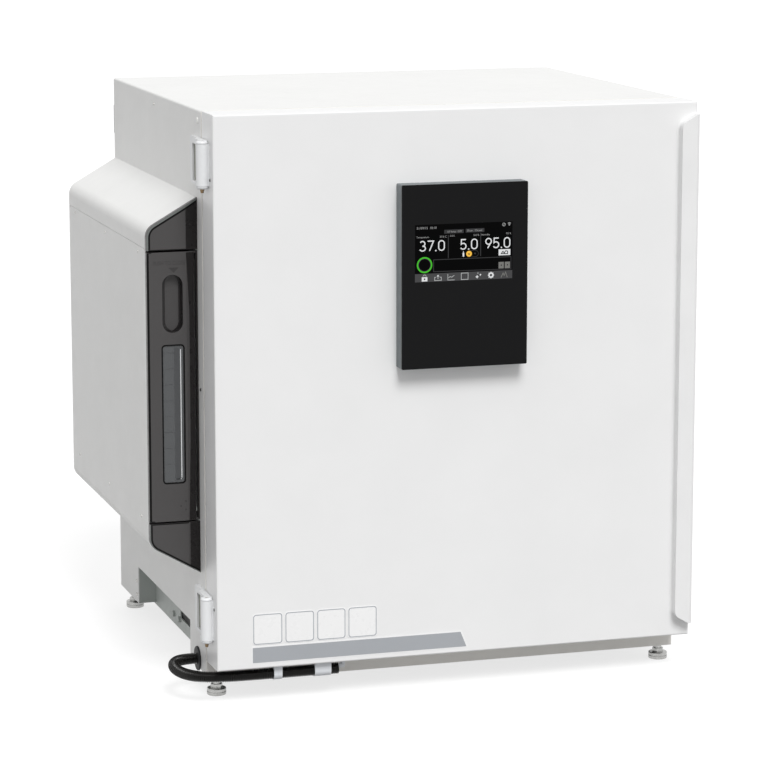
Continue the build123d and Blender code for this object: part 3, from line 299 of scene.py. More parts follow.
rubber_black = moulded("rubber_black", (0.018, 0.018, 0.02), 0.6, 0.4, 0.02, 0.3)
foam_cream = moulded("foam_cream", (0.80, 0.72, 0.48), 0.9, 1.5, 0.2, 0.1)

# %% [markdown]
# Brushed stainless steel is scratched all one way. Noise that is stretched along the
# brushing gives long thin streaks, and they go into colour, gloss and relief together.

# %% Metals


def brushed(name, colour, stretch, roughness=0.32):
    made = finish(name, colour, roughness, metallic=1.0)
    streaks = grain_of(made, 900, stretch, detail=3)
    uneven_colour(made, streaks, 0.06)
    uneven_gloss(made, streaks, roughness - 0.08, roughness + 0.1)
    return relief(made, streaks, 0.004)


def turned(name, colour, roughness=0.25):
    """Machined or plated small parts."""
    made = finish(name, colour, roughness, metallic=1.0)
    uneven_colour(made, grain_of(made, 120, detail=3), 0.12)
    uneven_gloss(made, grain_of(made, 300), roughness - 0.1, roughness + 0.15)
    return relief(made, grain_of(made, 900), 0.004)


stainless = brushed("stainless", (0.66, 0.67, 0.68), (0.02, 1, 1))
stainless_upright = brushed("stainless_upright", (0.66, 0.67, 0.68), (1, 1, 0.02))
screw_steel = turned("screw_steel", (0.50, 0.49, 0.47), 0.3)
foot_steel = turned("foot_steel", (0.47, 0.47, 0.46), 0.26)
pin_brown = turned("pin_brown", (0.22, 0.155, 0.09), 0.4)
screw_dark = turned("screw_dark", (0.10, 0.10, 0.10), 0.4)
brass = turned("brass", (0.72, 0.55, 0.26), 0.25)

# %% [markdown]
# Glass lets light through, and its edge gives it away. The inner pane is clear, the
# lamp and the level window are a little tinted, and the tank is milky.

# %% Glass and clear plastics


def clear(name, colour, roughness, through=1.0):
    made = finish(name, colour, roughness)
    shader = made.node_tree.nodes["Principled BSDF"]
    shader.inputs["Transmission Weight"].default_value = through
    shader.inputs["IOR"].default_value = 1.46
    return relief(made, grain_of(made, 12), 0.002)


pane_glass = clear("pane_glass", (0.93, 0.97, 0.96), 0.02)
lamp_glass = clear("lamp_glass", (0.92, 0.95, 1.0), 0.05)
window_clear = clear("window_clear", (0.11, 0.115, 0.12), 0.22, 0.3)
tank_milky = clear("tank_milky", (0.80, 0.85, 0.88), 0.35, 0.5)

# %% [markdown]
# Now each solid takes its finish. The list reads as the machine is built: steel
# outside, stainless inside, plastics where a hand goes.

# %% Give every solid its finish
worn_by = {
    door_white: ["door_skin"],
    cabinet_white: ["cabinet_wrap", "side_roof", "side_panel"],
    frame_cream: ["front_frame"],
    base_grey: ["base_frame", "side_chassis"],
    rear_grey: ["back_panel"],
    liner_white: ["door_liner"],
    motor_black: ["fan_motor"],
    handle_white: ["door_handle"],
    hinge_white: ["hinge_barrels", "hinge_straps"],
    bracket_grey: ["rear_spacers"],
    panel_grey: ["panel_housing"],
    fascia_black: ["panel_fascia"],
    display_glass: ["panel_screen"],
    smoke_grey: ["front_cover_top", "front_cover_bottom", "reservoir_front"],
    inlet_black: ["power_inlet", "power_switch", "latch_knob"],
    holder_white: ["lamp_holders", "port_sleeve", "inner_frame"],
    rotor_black: ["fan_rotor"],
    cap_blue: ["tank_cap"],
    clamp_white: ["conduit_clamps"],
    conduit_black: ["conduit_loop", "conduit_run"],
    gasket_tan: ["door_gasket"],
    silicone_white: ["port_stopper", "inner_gasket"],
    rubber_black: ["usb_cover", "conduit_grommet"],
    foam_cream: ["insulation", "door_foam"],
    stainless: ["chamber", "shelf_1", "shelf_2", "shelf_3", "shelf_4", "humidity_pan"],
    stainless_upright: ["duct_cover", "shelf_racks", "inner_hinges", "latch_keeper"],
    screw_steel: ["co2_sensor", "temperature_sensor"],
    foot_steel: ["foot_front_left", "foot_front_right", "foot_back_left", "foot_back_right"],
    pin_brown: ["hinge_pins"],
    brass: ["gas_nipple"],
    pane_glass: ["inner_glass"],
    lamp_glass: ["uv_lamp"],
    window_clear: ["reservoir_window"],
    tank_milky: ["reservoir_tank"],
}
for surface, wearers in worn_by.items():
    for wearer in wearers:
        for material_slot in nodes[wearer].material_slots:
            material_slot.material = surface
dressed = sorted(n for names in worn_by.values() for n in names)
print("solids without a finish:", sorted(set(nodes) - set(dressed)))

# %% [markdown]
# ## Building small pieces
#
# Everything below is drawn with bmesh. A thin plate is a flat outline pushed out to a
# real thickness, and a turned part is a profile spun round its axis. Both land in one
# bmesh per piece, so twenty screws are still one object.

# %% Helpers for plates and turned parts


def piece(made, name, surface, body, smooth_deg=None):
    """Turns a bmesh into an object in place, with its finish and the body it rides on."""
    bmesh.ops.recalc_face_normals(made, faces=made.faces)
    mesh = bpy.data.meshes.new(name)
    made.to_mesh(mesh)
    made.free()
    mesh.materials.append(surface)
    shown = bpy.data.objects.new(name, mesh)
    bpy.context.scene.collection.objects.link(shown)
    if smooth_deg is not None:
        mesh.shade_smooth()
        mesh.set_sharp_from_angle(angle=math.radians(smooth_deg))
    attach(shown, body)
    return shown


def slab(made, outline, thickness):
    """Adds a plate: an outline in metres, pushed out by a vector."""
    low = [made.verts.new(p) for p in outline]
    high = [made.verts.new(Vector(p) + Vector(thickness)) for p in outline]
    made.faces.new(low)
    made.faces.new(reversed(high))
    for i in range(len(low)):
        j = (i + 1) % len(low)
        made.faces.new((low[i], high[i], high[j], low[j]))


def spun(made, base, axis, profile, sides=24):
    """Adds a turned part: pairs of radius and height, spun round an axis from base."""
    axis = Vector(axis).normalized()
    across = axis.orthogonal().normalized()
    other = axis.cross(across)
    rings = []
    for radius, height in profile:
        ring = []
        for i in range(sides):
            turn = 2 * math.pi * i / sides
            out = across * math.cos(turn) + other * math.sin(turn)
            ring.append(made.verts.new(base + axis * height + out * radius))
        rings.append(ring)
    for low, high in zip(rings, rings[1:]):
        for i in range(sides):
            j = (i + 1) % sides
            made.faces.new((low[i], low[j], high[j], high[i]))
    made.faces.new(rings[0])
    made.faces.new(rings[-1])
    return rings


def cross_screw(made, base, axis, radius, height):
    """A pan-head screw with a cross recess, in metres."""
    axis = Vector(axis).normalized()
    across = axis.orthogonal().normalized()
    other = axis.cross(across)
    steps = [(1.0, -0.2, 0), (1.0, 0.25, 0), (0.9, 0.7, 0), (0.68, 0.95, 0), (0.55, 1.0, 0)]
    steps += [(1.0, 1.0, 1), (0.8, 0.35, 1)]
    rings = []
    for share, level, crossed in steps:
        ring = []
        for i in range(24):
            turn = math.radians(15 * i + 7.5)
            if crossed:
                share_here = share * (0.45 if i % 6 in (0, 5) else 0.16)
            else:
                share_here = share
            out = across * math.cos(turn) + other * math.sin(turn)
            ring.append(made.verts.new(base + axis * height * level + out * radius * share_here))
        rings.append(ring)
    for low, high in zip(rings, rings[1:]):
        for i in range(24):
            j = (i + 1) % 24
            made.faces.new((low[i], low[j], high[j], high[i]))
    made.faces.new(rings[0])
    made.faces.new(rings[-1])


# %% [markdown]
# ## The door lead
#
# The lead to the door panel runs in a black corrugated conduit. It leaves a grommet in
# the cabinet's side, loops out round the hinge, and is clipped under the door. The
# route is one smooth spline through a few control points; a tube with a ring every
# 2.7 mm then follows it.

# %% Route of the conduit
LEAD_ROUTE = [
    (2.0, 123.0, 48.0),
    (-25.0, 123.0, 48.4),
    (-44.0, 105.0, 49.0),
    (-50.0, 76.0, 48.0),
    (-42.0, 47.0, 46.0),
    (-20.0, 27.0, 44.5),
    (14.0, 20.6, 43.9),
    (50.0, 20.0, 43.5),
    (90.0, 20.0, 43.5),
    (196.0, 20.0, 43.5),
]


def spline_line(route):
    """The points of a smooth NURBS spline with the route's points as its controls."""
    drawn = bpy.data.curves.new("lead_route", "CURVE")
    drawn.dimensions = "3D"
    line = drawn.splines.new("NURBS")
    line.points.add(len(route) - 1)
    for control, at in zip(line.points, route):
        control.co = (*spot(*at), 1)
    line.order_u = 3
    line.use_endpoint_u = True
    line.resolution_u = 16
    holder = bpy.data.objects.new("lead_route", drawn)
    mesh = bpy.data.meshes.new_from_object(holder)
    points = [v.co.copy() for v in mesh.vertices]
    bpy.data.objects.remove(holder)
    return points


def evenly(points, step):
    """The same line as points a fixed step apart."""
    made = [points[0].copy()]
    left = step
    for a, b in zip(points, points[1:]):
        run = (b - a).length
        done = 0.0
        while run - done > left:
            done += left
            made.append(a.lerp(b, done / run))
            left = step
        left -= run - done
    return made


lead_line = spline_line(LEAD_ROUTE)

# %% [markdown]
# The tube has six rings of vertices to each rib of the conduit: two on the crest, two in
# the groove and one on each flank.

# %% Corrugated tube along the route
RING_PITCH = 0.0027
CONDUIT_R = 0.00875
GROOVE = 0.0015
RING_SHAPE = (1.0, 1.0, 0.6, 0.0, 0.0, 0.6)


def corrugated(line, name, surface):
    """A tube whose radius rises and falls once a ring."""
    points = evenly(line, RING_PITCH / 6)
    made = bmesh.new()
    sides = 28
    across = None
    rings = []
    for i, point in enumerate(points):
        ahead = points[min(i + 1, len(points) - 1)] - points[max(i - 1, 0)]
        ahead.normalize()
        if across is None:
            across = ahead.orthogonal()
        across = (across - ahead * across.dot(ahead)).normalized()
        other = ahead.cross(across)
        radius = CONDUIT_R - GROOVE * (1 - RING_SHAPE[i % 6])
        ring = []
        for k in range(sides):
            turn = 2 * math.pi * k / sides
            out = across * math.cos(turn) + other * math.sin(turn)
            ring.append(made.verts.new(point + out * radius))
        rings.append(ring)
    for low, high in zip(rings, rings[1:]):
        for k in range(sides):
            j = (k + 1) % sides
            made.faces.new((low[k], low[j], high[j], high[k]))
    made.faces.new(rings[0])
    made.faces.new(rings[-1])
    bmesh.ops.recalc_face_normals(made, faces=made.faces)
    mesh = bpy.data.meshes.new(name)
    made.to_mesh(mesh)
    made.free()
    mesh.materials.append(surface)
    mesh.shade_smooth()
    shown = bpy.data.objects.new(name, mesh)
    bpy.context.scene.collection.objects.link(shown)
    return shown


conduit = corrugated(lead_line, "door_lead_conduit", conduit_black)
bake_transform(conduit)
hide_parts("conduit_loop", "conduit_run")
print("conduit:", len(conduit.data.vertices), "vertices")

# %% [markdown]
# ## The display
#
# The touch display shows three big readings over a grey toolbar. The picture is drawn
# as flat strokes a tenth of a millimetre thick that lie on the glass and glow a
# little. Two numbers place a mark: how far across the glass, and how far down, both
# from 0 to 1. The big figures are drawn with a pen: arcs and lines of one width, as on
# a technical drawing. The small captions are letters of Blender's own font.

# %% A pen that draws on the display
glass_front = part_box("panel_fascia")[0].y
SCREEN_W = 155.0
SCREEN_H = 87.0
SCREEN_X = 382.0
SCREEN_Z = 690.5
MARK_T = 0.08


def on_screen(u, v, lift=0.0):
    """A point on the display: u across, v down, lift in millimetres off the glass."""
    x = SCREEN_X + (u - 0.5) * SCREEN_W
    z = SCREEN_Z + (0.5 - v) * SCREEN_H
    at = spot(x, 0, z)
    at.y = glass_front - lift / 1000
    return at


def glowing(name, colour):
    """Ink of the display: its light is the colour itself."""
    made = finish(name, colour, 0.4, specular=0.0)
    shader = made.node_tree.nodes["Principled BSDF"]
    shader.inputs["Base Color"].default_value = (*[c * 0.1 for c in colour], 1)
    uneven_colour(made, grain_of(made, 400), 0.02)
    shader.inputs["Emission Color"].default_value = (*colour, 1)
    shader.inputs["Emission Strength"].default_value = 1.0
    return made


def arc(cx, cy, rx, ry, first, last, steps=14):
    """Points of an ellipse's arc, angles in degrees, y upward."""
    out = []
    for i in range(steps + 1):
        turn = math.radians(first + (last - first) * i / steps)
        out.append((cx + rx * math.cos(turn), cy + ry * math.sin(turn)))
    return out


def ring_on_screen(u, v, radius_mm, steps=28):
    """A closed circle in u and v."""
    out = []
    for x, y in arc(0, 0, radius_mm, radius_mm, 0, 360, steps)[:-1]:
        out.append((u + x / SCREEN_W, v - y / SCREEN_H))
    return out


def stroke(made, points, width, closed=False, lift=MARK_T):
    """A flat ribbon of one width along points given in u and v."""
    places = [Vector(((u - 0.5) * SCREEN_W, (0.5 - v) * SCREEN_H)) for u, v in points]
    count = len(places)
    left, right = [], []
    for i, here in enumerate(places):
        before = places[i - 1] if closed or i else here - (places[1] - here)
        after = places[(i + 1) % count] if closed or i < count - 1 else here + (here - before)
        a, b = (here - before).normalized(), (after - here).normalized()
        bisector = (a + b).normalized() if (a + b).length > 1e-6 else a
        side = Vector((-bisector.y, bisector.x))
        reach = width / 2 / max(0.45, abs(side.dot(Vector((-a.y, a.x)))))
        left.append(here + side * reach)
        right.append(here - side * reach)
    last = count if closed else count - 1
    for i in range(last):
        j = (i + 1) % count
        corners = [left[i], right[i], right[j], left[j]]
        outline = [on_screen(c.x / SCREEN_W + 0.5, 0.5 - c.y / SCREEN_H, lift) for c in corners]
        slab(made, outline, (0, (lift + 0.05) / 1000, 0))


def panel_mark(made, u0, v0, u1, v1, lift=MARK_T):
    """A filled rectangle."""
    outline = [on_screen(u, v, lift) for u, v in ((u0, v0), (u1, v0), (u1, v1), (u0, v1))]
    slab(made, outline, (0, (lift + 0.05) / 1000, 0))


def patch(made, points, lift=MARK_T):
    """A filled outline in u and v."""
    slab(made, [on_screen(u, v, lift) for u, v in points], (0, (lift + 0.05) / 1000, 0))


def disc(made, u, v, radius_mm, lift=MARK_T, sides=28):
    patch(made, ring_on_screen(u, v, radius_mm, sides), lift)


def letters(text, size_mm):
    """The outlines of a line of text as a solid: points, and faces of point numbers."""
    drawn = bpy.data.curves.new("caption", "FONT")
    drawn.body = text
    drawn.size = size_mm
    drawn.extrude = 0.5
    drawn.resolution_u = 2
    holder = bpy.data.objects.new("caption", drawn)
    solid = bmesh.new()
    solid.from_mesh(bpy.data.meshes.new_from_object(holder))
    bpy.data.objects.remove(holder)
    bmesh.ops.remove_doubles(solid, verts=solid.verts, dist=0.0005)
    solid.verts.index_update()
    points = [v.co.copy() for v in solid.verts]
    faces = [[v.index for v in face.verts] for face in solid.faces]
    solid.free()
    return points, faces


def caption(made, text, u, v, size_mm, ends=False):
    """Small lettering that starts, or with ends set ends, at u and stands on v."""
    points, faces = letters(text, size_mm)
    shift = max(p.x for p in points) if ends else 0.0
    corners = []
    for p in points:
        lift = MARK_T if p.z > 0 else -0.05
        at = on_screen(u + (p.x - shift) / SCREEN_W, v - p.y / SCREEN_H, lift)
        corners.append(made.verts.new(at))
    for face in faces:
        made.faces.new([corners[i] for i in face])


# %% [markdown]
# Only five different figures are needed. Each is one or two lines in a box 0.68 wide
# and 1 high, measured up from the line it stands on.

# %% The big figures
FIGURES = {
    "0": [arc(0.34, 0.67, 0.27, 0.27, 0, 180) + arc(0.34, 0.33, 0.27, 0.27, 180, 360)],
    "3": [arc(0.31, 0.71, 0.23, 0.23, 150, -90), arc(0.31, 0.29, 0.28, 0.23, 90, -155)],
    "5": [[(0.57, 0.94), (0.14, 0.94), (0.12, 0.52)] + arc(0.31, 0.33, 0.27, 0.27, 128, -150)],
    "7": [[(0.06, 0.94), (0.62, 0.94), (0.24, 0.05)]],
    "9": [arc(0.34, 0.67, 0.27, 0.27, 0, 360), [(0.6, 0.6), (0.25, 0.05)]],
}
FIGURE_H = 16.6
FIGURE_PEN = 1.75


def figures(made, text, u_left, v_base):
    """Writes a reading that starts at u_left and stands on v_base."""
    at = u_left * SCREEN_W
    for sign in text:
        if sign == ".":
            u_dot = (at + 0.1 * FIGURE_H) / SCREEN_W
            v_dot = v_base - 0.055 * FIGURE_H / SCREEN_H
            disc(made, u_dot, v_dot, 1.15, sides=16)
            at += 0.3 * FIGURE_H
            continue
        for line in FIGURES[sign]:
            closed = sign == "0" or len(line) == 15 and sign == "9"
            if closed and sign == "9":
                line = line[:-1]
            places = []
            for x, y in line:
                places.append(((at + x * FIGURE_H) / SCREEN_W, v_base - y * FIGURE_H / SCREEN_H))
            stroke(made, places, FIGURE_PEN, closed)
        at += 0.74 * FIGURE_H


white_marks = bmesh.new()
figures(white_marks, "37.0", 0.043, 0.468)
figures(white_marks, "5.0", 0.459, 0.465)
figures(white_marks, "95.0", 0.717, 0.462)

# %% [markdown]
# Above the figures stand the quantity, the set value, the time and two status words,
# with a small wave and a crossed circle in the corner.

# %% Captions above the figures
soft_marks = bmesh.new()
caption(soft_marks, "21/09/15  10:10", 0.016, 0.078, 5.0)
caption(soft_marks, "Temperature", 0.014, 0.232, 3.7)
caption(soft_marks, "CO2", 0.355, 0.226, 3.7)
caption(soft_marks, "Humidity", 0.677, 0.227, 3.7)
caption(soft_marks, "37.0 C", 0.323, 0.237, 4.2, ends=True)
caption(soft_marks, "5.0 %", 0.656, 0.231, 4.2, ends=True)
caption(soft_marks, "95 %", 0.986, 0.224, 4.2, ends=True)
caption(soft_marks, "UV lamp : OFF", 0.328, 0.152, 3.9)
caption(soft_marks, "Door : Closed", 0.532, 0.148, 4.1)
for v_arc, reach in ((0.072, 0.004), (0.052, 0.010), (0.032, 0.016)):
    fan = [(0.967 - reach, v_arc), (0.967, v_arc - 0.013), (0.967 + reach, v_arc)]
    stroke(soft_marks, fan, 1.0)
stroke(soft_marks, ring_on_screen(0.911, 0.05, 2.3, 16), 0.8, True)
stroke(soft_marks, [(0.900, 0.072), (0.922, 0.028)], 0.8)

# %% [markdown]
# Round the figures come thin dividers, a green ring, a framed message box with two
# keys, an amber switch, and a toolbar of seven small signs. Each sign is a few
# strokes.

# %% Dividers, ring, message box and switch
grey_marks = bmesh.new()
for u, v_low, v_high in ((0.340, 0.195, 0.598), (0.672, 0.181, 0.586)):
    stroke(grey_marks, [(u, v_low), (u, v_high)], 1.2)
box_corners = [(0.19, 0.618), (0.986, 0.620), (0.986, 0.836), (0.19, 0.826)]
stroke(grey_marks, box_corners, 1.0, closed=True)
for u0, u1, v_mid in ((0.298, 0.496, 0.136), (0.518, 0.709, 0.132)):
    panel_mark(grey_marks, u0, v_mid - 0.033, u1, v_mid + 0.033, 0.05)
switch_line = arc(0.565, 0, 0.032, 0.055, 90, 270) + arc(0.617, 0, 0.032, 0.055, -90, 90)
stroke(grey_marks, [(u, 0.538 - v) for u, v in switch_line], 0.6, closed=True)
disc(grey_marks, 0.615, 0.536, 1.2)
toolbar = bmesh.new()
panel_mark(toolbar, 0.0, 0.856, 1.0, 1.0, 0.05)
keys = bmesh.new()
for u in (0.858, 0.922):
    panel_mark(keys, u, 0.706, u + 0.054, 0.82, 0.06)
green_ring = bmesh.new()
stroke(green_ring, ring_on_screen(0.0975, 0.703, 11.1, 48), 2.3, closed=True)
ring_shade = bmesh.new()
stroke(ring_shade, ring_on_screen(0.0975, 0.703, 9.4, 48), 1.0, closed=True)
amber = bmesh.new()
disc(amber, 0.553, 0.538, 4.5, 0.1)
panel_mark(white_marks, 0.858, 0.484, 0.979, 0.59)
bottle = [(0.488, 0.585), (0.486, 0.53), (0.492, 0.508), (0.492, 0.49), (0.498, 0.49), (0.498, 0.508),
          (0.504, 0.53), (0.503, 0.585)]
patch(white_marks, bottle)
dark_marks = bmesh.new()
waves = [(0.884, 0.56), (0.902, 0.52), (0.915, 0.55), (0.932, 0.513), (0.951, 0.52), (0.951, 0.565)]
stroke(dark_marks, waves, 1.3, True, 0.12)
stroke(dark_marks, [(0.541, 0.524), (0.553, 0.555), (0.563, 0.527)], 1.0, lift=0.14)
for u in (0.886, 0.950):
    disc(dark_marks, u, 0.762, 1.1, 0.1, 12)

# %% [markdown]
# The toolbar's signs are a padlock, a tray with an arrow, a chart, a list, stars, a gear
# and a row of peaks.

# %% Seven signs on the toolbar
pale_marks = bmesh.new()
SIGN_V = 0.936
lock_u = 0.098
panel_mark(white_marks, lock_u - 0.029, 0.915, lock_u + 0.029, 0.989)
stroke(pale_marks, [(u, -v) for u, v in arc(lock_u, -0.905, 0.016, 0.03, 0, 180)], 0.8)
disc(dark_marks, lock_u, 0.95, 1.3, 0.12, 12)
tray_u = 0.235
basket = [(-0.018, -0.01), (-0.034, -0.01), (-0.034, 0.046)]
basket += [(-du, dv) for du, dv in reversed(basket)]
stroke(pale_marks, [(tray_u + du, SIGN_V + dv) for du, dv in basket], 0.9)
stroke(pale_marks, [(tray_u, SIGN_V + 0.02), (tray_u, SIGN_V - 0.035)], 1.1)
patch(white_marks, [(tray_u - 0.014, 0.912), (tray_u, 0.882), (tray_u + 0.014, 0.912)])
chart_u = 0.370
stroke(pale_marks, [(chart_u - 0.034, 0.876), (chart_u - 0.034, 0.984), (chart_u + 0.036, 0.984)], 0.8)
trend = [(-0.028, 0.015), (-0.01, -0.005), (0.006, 0.005), (0.032, -0.025)]
stroke(pale_marks, [(chart_u + du, 0.93 + dv) for du, dv in trend], 0.9)
list_u = 0.509
page = [(-0.035, 0.873), (0.035, 0.873), (0.035, 0.985), (-0.035, 0.985)]
stroke(pale_marks, [(list_u + du, v) for du, v in page], 0.9, True)
for du in (-0.018, 0.0, 0.018):
    stroke(grey_marks, [(list_u + du, 0.888), (list_u + du, 0.968)], 0.6, lift=0.12)
for u, v, size in ((0.637, 0.949, 2.9), (0.671, 0.916, 1.9), (0.645, 0.884, 1.3)):
    star = []
    for i in range(8):
        reach = size if i % 2 == 0 else size * 0.45
        turn = math.radians(45 * i)
        star.append((u + reach * math.cos(turn) / SCREEN_W, v + reach * math.sin(turn) / SCREEN_H))
    patch(white_marks if size > 1.5 else pale_marks, star)
gear_u, gear_v = 0.780, 0.930
stroke(white_marks, ring_on_screen(gear_u, gear_v, 3.1, 24), 2.2, closed=True)
for i in range(8):
    turn = math.radians(45 * i)
    du, dv = math.cos(turn) / SCREEN_W, math.sin(turn) / SCREEN_H
    tooth = [(gear_u + reach * du, gear_v + reach * dv) for reach in (3.9, 5.0)]
    stroke(white_marks, tooth, 1.4)
peak_u = 0.917
peaks = [(-0.034, 0.045), (-0.012, -0.03), (0.0, 0.01), (0.014, -0.05), (0.031, 0.045)]
stroke(keys, [(peak_u + du, 0.935 + dv) for du, dv in peaks], 1.2)

display_ink = {
    "display_figures": (white_marks, (0.68, 0.69, 0.70)),
    "display_captions": (soft_marks, (0.30, 0.30, 0.30)),
    "display_signs": (pale_marks, (0.42, 0.43, 0.43)),
    "display_lines": (grey_marks, (0.042, 0.042, 0.044)),
    "display_toolbar": (toolbar, (0.062, 0.062, 0.064)),
    "display_keys": (keys, (0.17, 0.17, 0.16)),
    "display_ring": (green_ring, (0.06, 0.46, 0.03)),
    "display_ring_shade": (ring_shade, (0.045, 0.02, 0.05)),
    "display_amber": (amber, (0.88, 0.50, 0.07)),
    "display_shades": (dark_marks, (0.03, 0.03, 0.03)),
}
for mark_name, (marks, ink) in display_ink.items():
    shown = piece(marks, mark_name, glowing(mark_name + "_ink", ink), "outer_door")
print("display drawn with", len(display_ink), "inks")

# %% [markdown]
# ## Badge tiles and stripe
#
# Low on the door sit four square tiles over a grey stripe with a slanted end. The
# maker's words are left out, so each tile is a bare white plate with a grey rim. A
# rounded square is four quarter circles joined up.

# %% Tiles on the door
TILE_T = 0.5


def rounded_outline(x0, x1, z0, z1, radius, y, steps=6):
    """A rounded rectangle in X and Z at depth y, in millimetres, as points in metres."""
    corners = [(x1 - radius, z1 - radius, 0), (x0 + radius, z1 - radius, 90),
               (x0 + radius, z0 + radius, 180), (x1 - radius, z0 + radius, 270)]
    out = []
    for cx, cz, start in corners:
        for i in range(steps + 1):
            turn = math.radians(start + 90 * i / steps)
            out.append(spot(cx + radius * math.cos(turn), y, cz + radius * math.sin(turn)))
    return out


def band(made, outer, inner, thickness, closed=True):
    """A flat frame, or with closed unset a ribbon, between two lines of as many points."""
    push = Vector(thickness)
    fronts = [[made.verts.new(p) for p in line] for line in (outer, inner)]
    backs = [[made.verts.new(Vector(p) + push) for p in line] for line in (outer, inner)]
    count = len(outer)
    for i in range(count if closed else count - 1):
        j = (i + 1) % count
        made.faces.new((fronts[0][i], fronts[0][j], fronts[1][j], fronts[1][i]))
        made.faces.new((backs[0][i], backs[1][i], backs[1][j], backs[0][j]))
        made.faces.new((fronts[0][i], backs[0][i], backs[0][j], fronts[0][j]))
        made.faces.new((fronts[1][i], fronts[1][j], backs[1][j], backs[1][i]))
    if not closed:
        for i in (0, count - 1):
            made.faces.new((fronts[0][i], fronts[1][i], backs[1][i], backs[0][i]))


tile_white = moulded("tile_white", (0.88, 0.88, 0.88), 0.3, 2.0, 0.001, spread=0.004)
tile_grey = moulded("tile_grey", (0.36, 0.38, 0.41), 0.4, 2.0, 0.001, spread=0.01)
stripe_grey = moulded("stripe_grey", (0.37, 0.386, 0.41), 0.4, 2.0, 0.001, spread=0.01)
tiles = bmesh.new()
rims = bmesh.new()
for x0, x1 in ((55.4, 103.0), (106.2, 153.4), (156.6, 203.4), (206.4, 253.4)):
    slab(tiles, rounded_outline(x0, x1, 95.0, 144.0, 5.5, -TILE_T), (0, TILE_T / 1000, 0))
    outer = rounded_outline(x0 + 1, x1 - 1, 96.0, 143.0, 4.5, -TILE_T - 0.1)
    inner = rounded_outline(x0 + 2.3, x1 - 2.3, 97.3, 141.7, 3.6, -TILE_T - 0.1)
    band(rims, outer, inner, (0, 0.00015, 0))
piece(tiles, "badge_tiles", tile_white, "outer_door")
piece(rims, "badge_rims", tile_grey, "outer_door")

# %% [markdown]
# The stripe is two plates on top of each other, so the wider white one shows as a
# border.

# %% Stripe below the tiles
stripe_edge = [(54.0, 93.2), (390.6, 93.2), (401.4, 66.0), (54.0, 66.0)]
stripe_face = [(55.4, 91.2), (388.7, 91.2), (398.4, 67.3), (55.4, 67.3)]
border = bmesh.new()
slab(border, [spot(x, -0.25, z) for x, z in stripe_edge], (0, 0.00025, 0))
piece(border, "stripe_border", tile_white, "outer_door")
stripe = bmesh.new()
slab(stripe, [spot(x, -0.35, z) for x, z in stripe_face], (0, 0.00015, 0))
piece(stripe, "badge_stripe", stripe_grey, "outer_door")
print("four tiles and a stripe of", round(398.4 - 55.4), "mm")

# %% [markdown]
# ## Screws, nuts and plugs
#
# Sheet metal is held by small cross-recess screws. They are few and far apart, so one
# helper draws a head wherever a place, an outward direction and a size are given, and
# the heads of one body share one object.

# %% Screws on each body
LEFT, FRONT, BACK, RIGHT = (-1, 0, 0), (0, -1, 0), (0, 1, 0), (1, 0, 0)
cabinet_screws = [((-80, y, z), LEFT, 2.1) for y, z in
                  ((626, 688), (392, 685), (156, 686), (619, 279), (389, 276), (155, 273))]
for x, way in ((0, LEFT), (770, RIGHT)):
    for y, z, size in ((383, 888, 2.4), (556, 70, 3.0), (556, 47, 3.0)):
        cabinet_screws.append(((x, y, z), way, size))
for x in (14, 200, 385, 570, 756):
    cabinet_screws += [((x, 680, 892), BACK, 3.0), ((x, 680, 64), BACK, 3.0)]
for z in (260, 470, 680):
    cabinet_screws += [((14, 680, z), BACK, 3.0), ((756, 680, z), BACK, 3.0)]
for x in (24, 746):
    cabinet_screws += [((x, 699.5, 822), BACK, 2.6), ((x, 699.5, 846), BACK, 2.6)]
for x, z in ((208, 170), (562, 170), (208, 800), (562, 800)):
    cabinet_screws.append(((x, 555, z), FRONT, 3.4))
door_screws = [((0, 17, 807), LEFT, 2.4), ((0, 17, 151), LEFT, 2.4)]
screws = (("cabinet", cabinet_screws, screw_steel), ("outer_door", door_screws, screw_dark))
for body, places, steel in screws:
    heads = bmesh.new()
    for place, way, size in places:
        cross_screw(heads, spot(*place), way, size / 1000, size * 0.0005)
    piece(heads, body + "_screws", steel, body, 35)
    print(body, "has", len(places), "screws")

# %% [markdown]
# A few small things are neither screws nor sheet: a lock nut on each foot, a plug
# button and a dark catch on the cabinet's left side, an olive pad of painted shade in the
# slot of each hinge strap, and black strips of painted shade behind the slots in the base rails.

# %% Lock nuts, plug, catch, and painted shade in the hinge and rail slots
HINGE_LOW = (97.0, 793.0)
PAD_Y = (86.3, 106.7)
PAD_Z = (5.3, 60.7)
for foot in ("front_left", "front_right", "back_left", "back_right"):
    low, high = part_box("foot_" + foot)
    middle = (low + high) / 2
    nut = bmesh.new()
    base = Vector((middle.x, middle.y, 0.0275))
    spun(nut, base, (0, 0, 1), [(0.0088, 0), (0.0098, 0.0008), (0.0098, 0.0047), (0.0088, 0.0055)], 6)
    piece(nut, "lock_nut_" + foot, foot_steel, "foot_" + foot)
plug = bmesh.new()
spun(plug, spot(0, 92, 889), LEFT, [(0.0052, 0), (0.0052, 0.0008), (0.0042, 0.0016), (0.002, 0.0019)])
piece(plug, "plug_button", holder_white, "cabinet", 40)
catch = bmesh.new()
spun(catch, spot(0, 87, 479), LEFT, [(0.0026, 0), (0.0026, 0.001), (0.0015, 0.0018)], 16)
piece(catch, "cabinet_catch", screw_dark, "cabinet", 40)
# Olive pads of painted shade on the floor of each hinge strap's slot, where shade falls.
shade_pads = bmesh.new()
for hinge_low in HINGE_LOW:
    low, high = [hinge_low + up for up in PAD_Z]
    corners = [(PAD_Y[0], low), (PAD_Y[1], low), (PAD_Y[1], high), (PAD_Y[0], high)]
    slab(shade_pads, [spot(-1.9, y, z) for y, z in corners], (0.0004, 0, 0))
piece(shade_pads, "hinge_slot_shade_pads", slot_painted_shade, "cabinet")
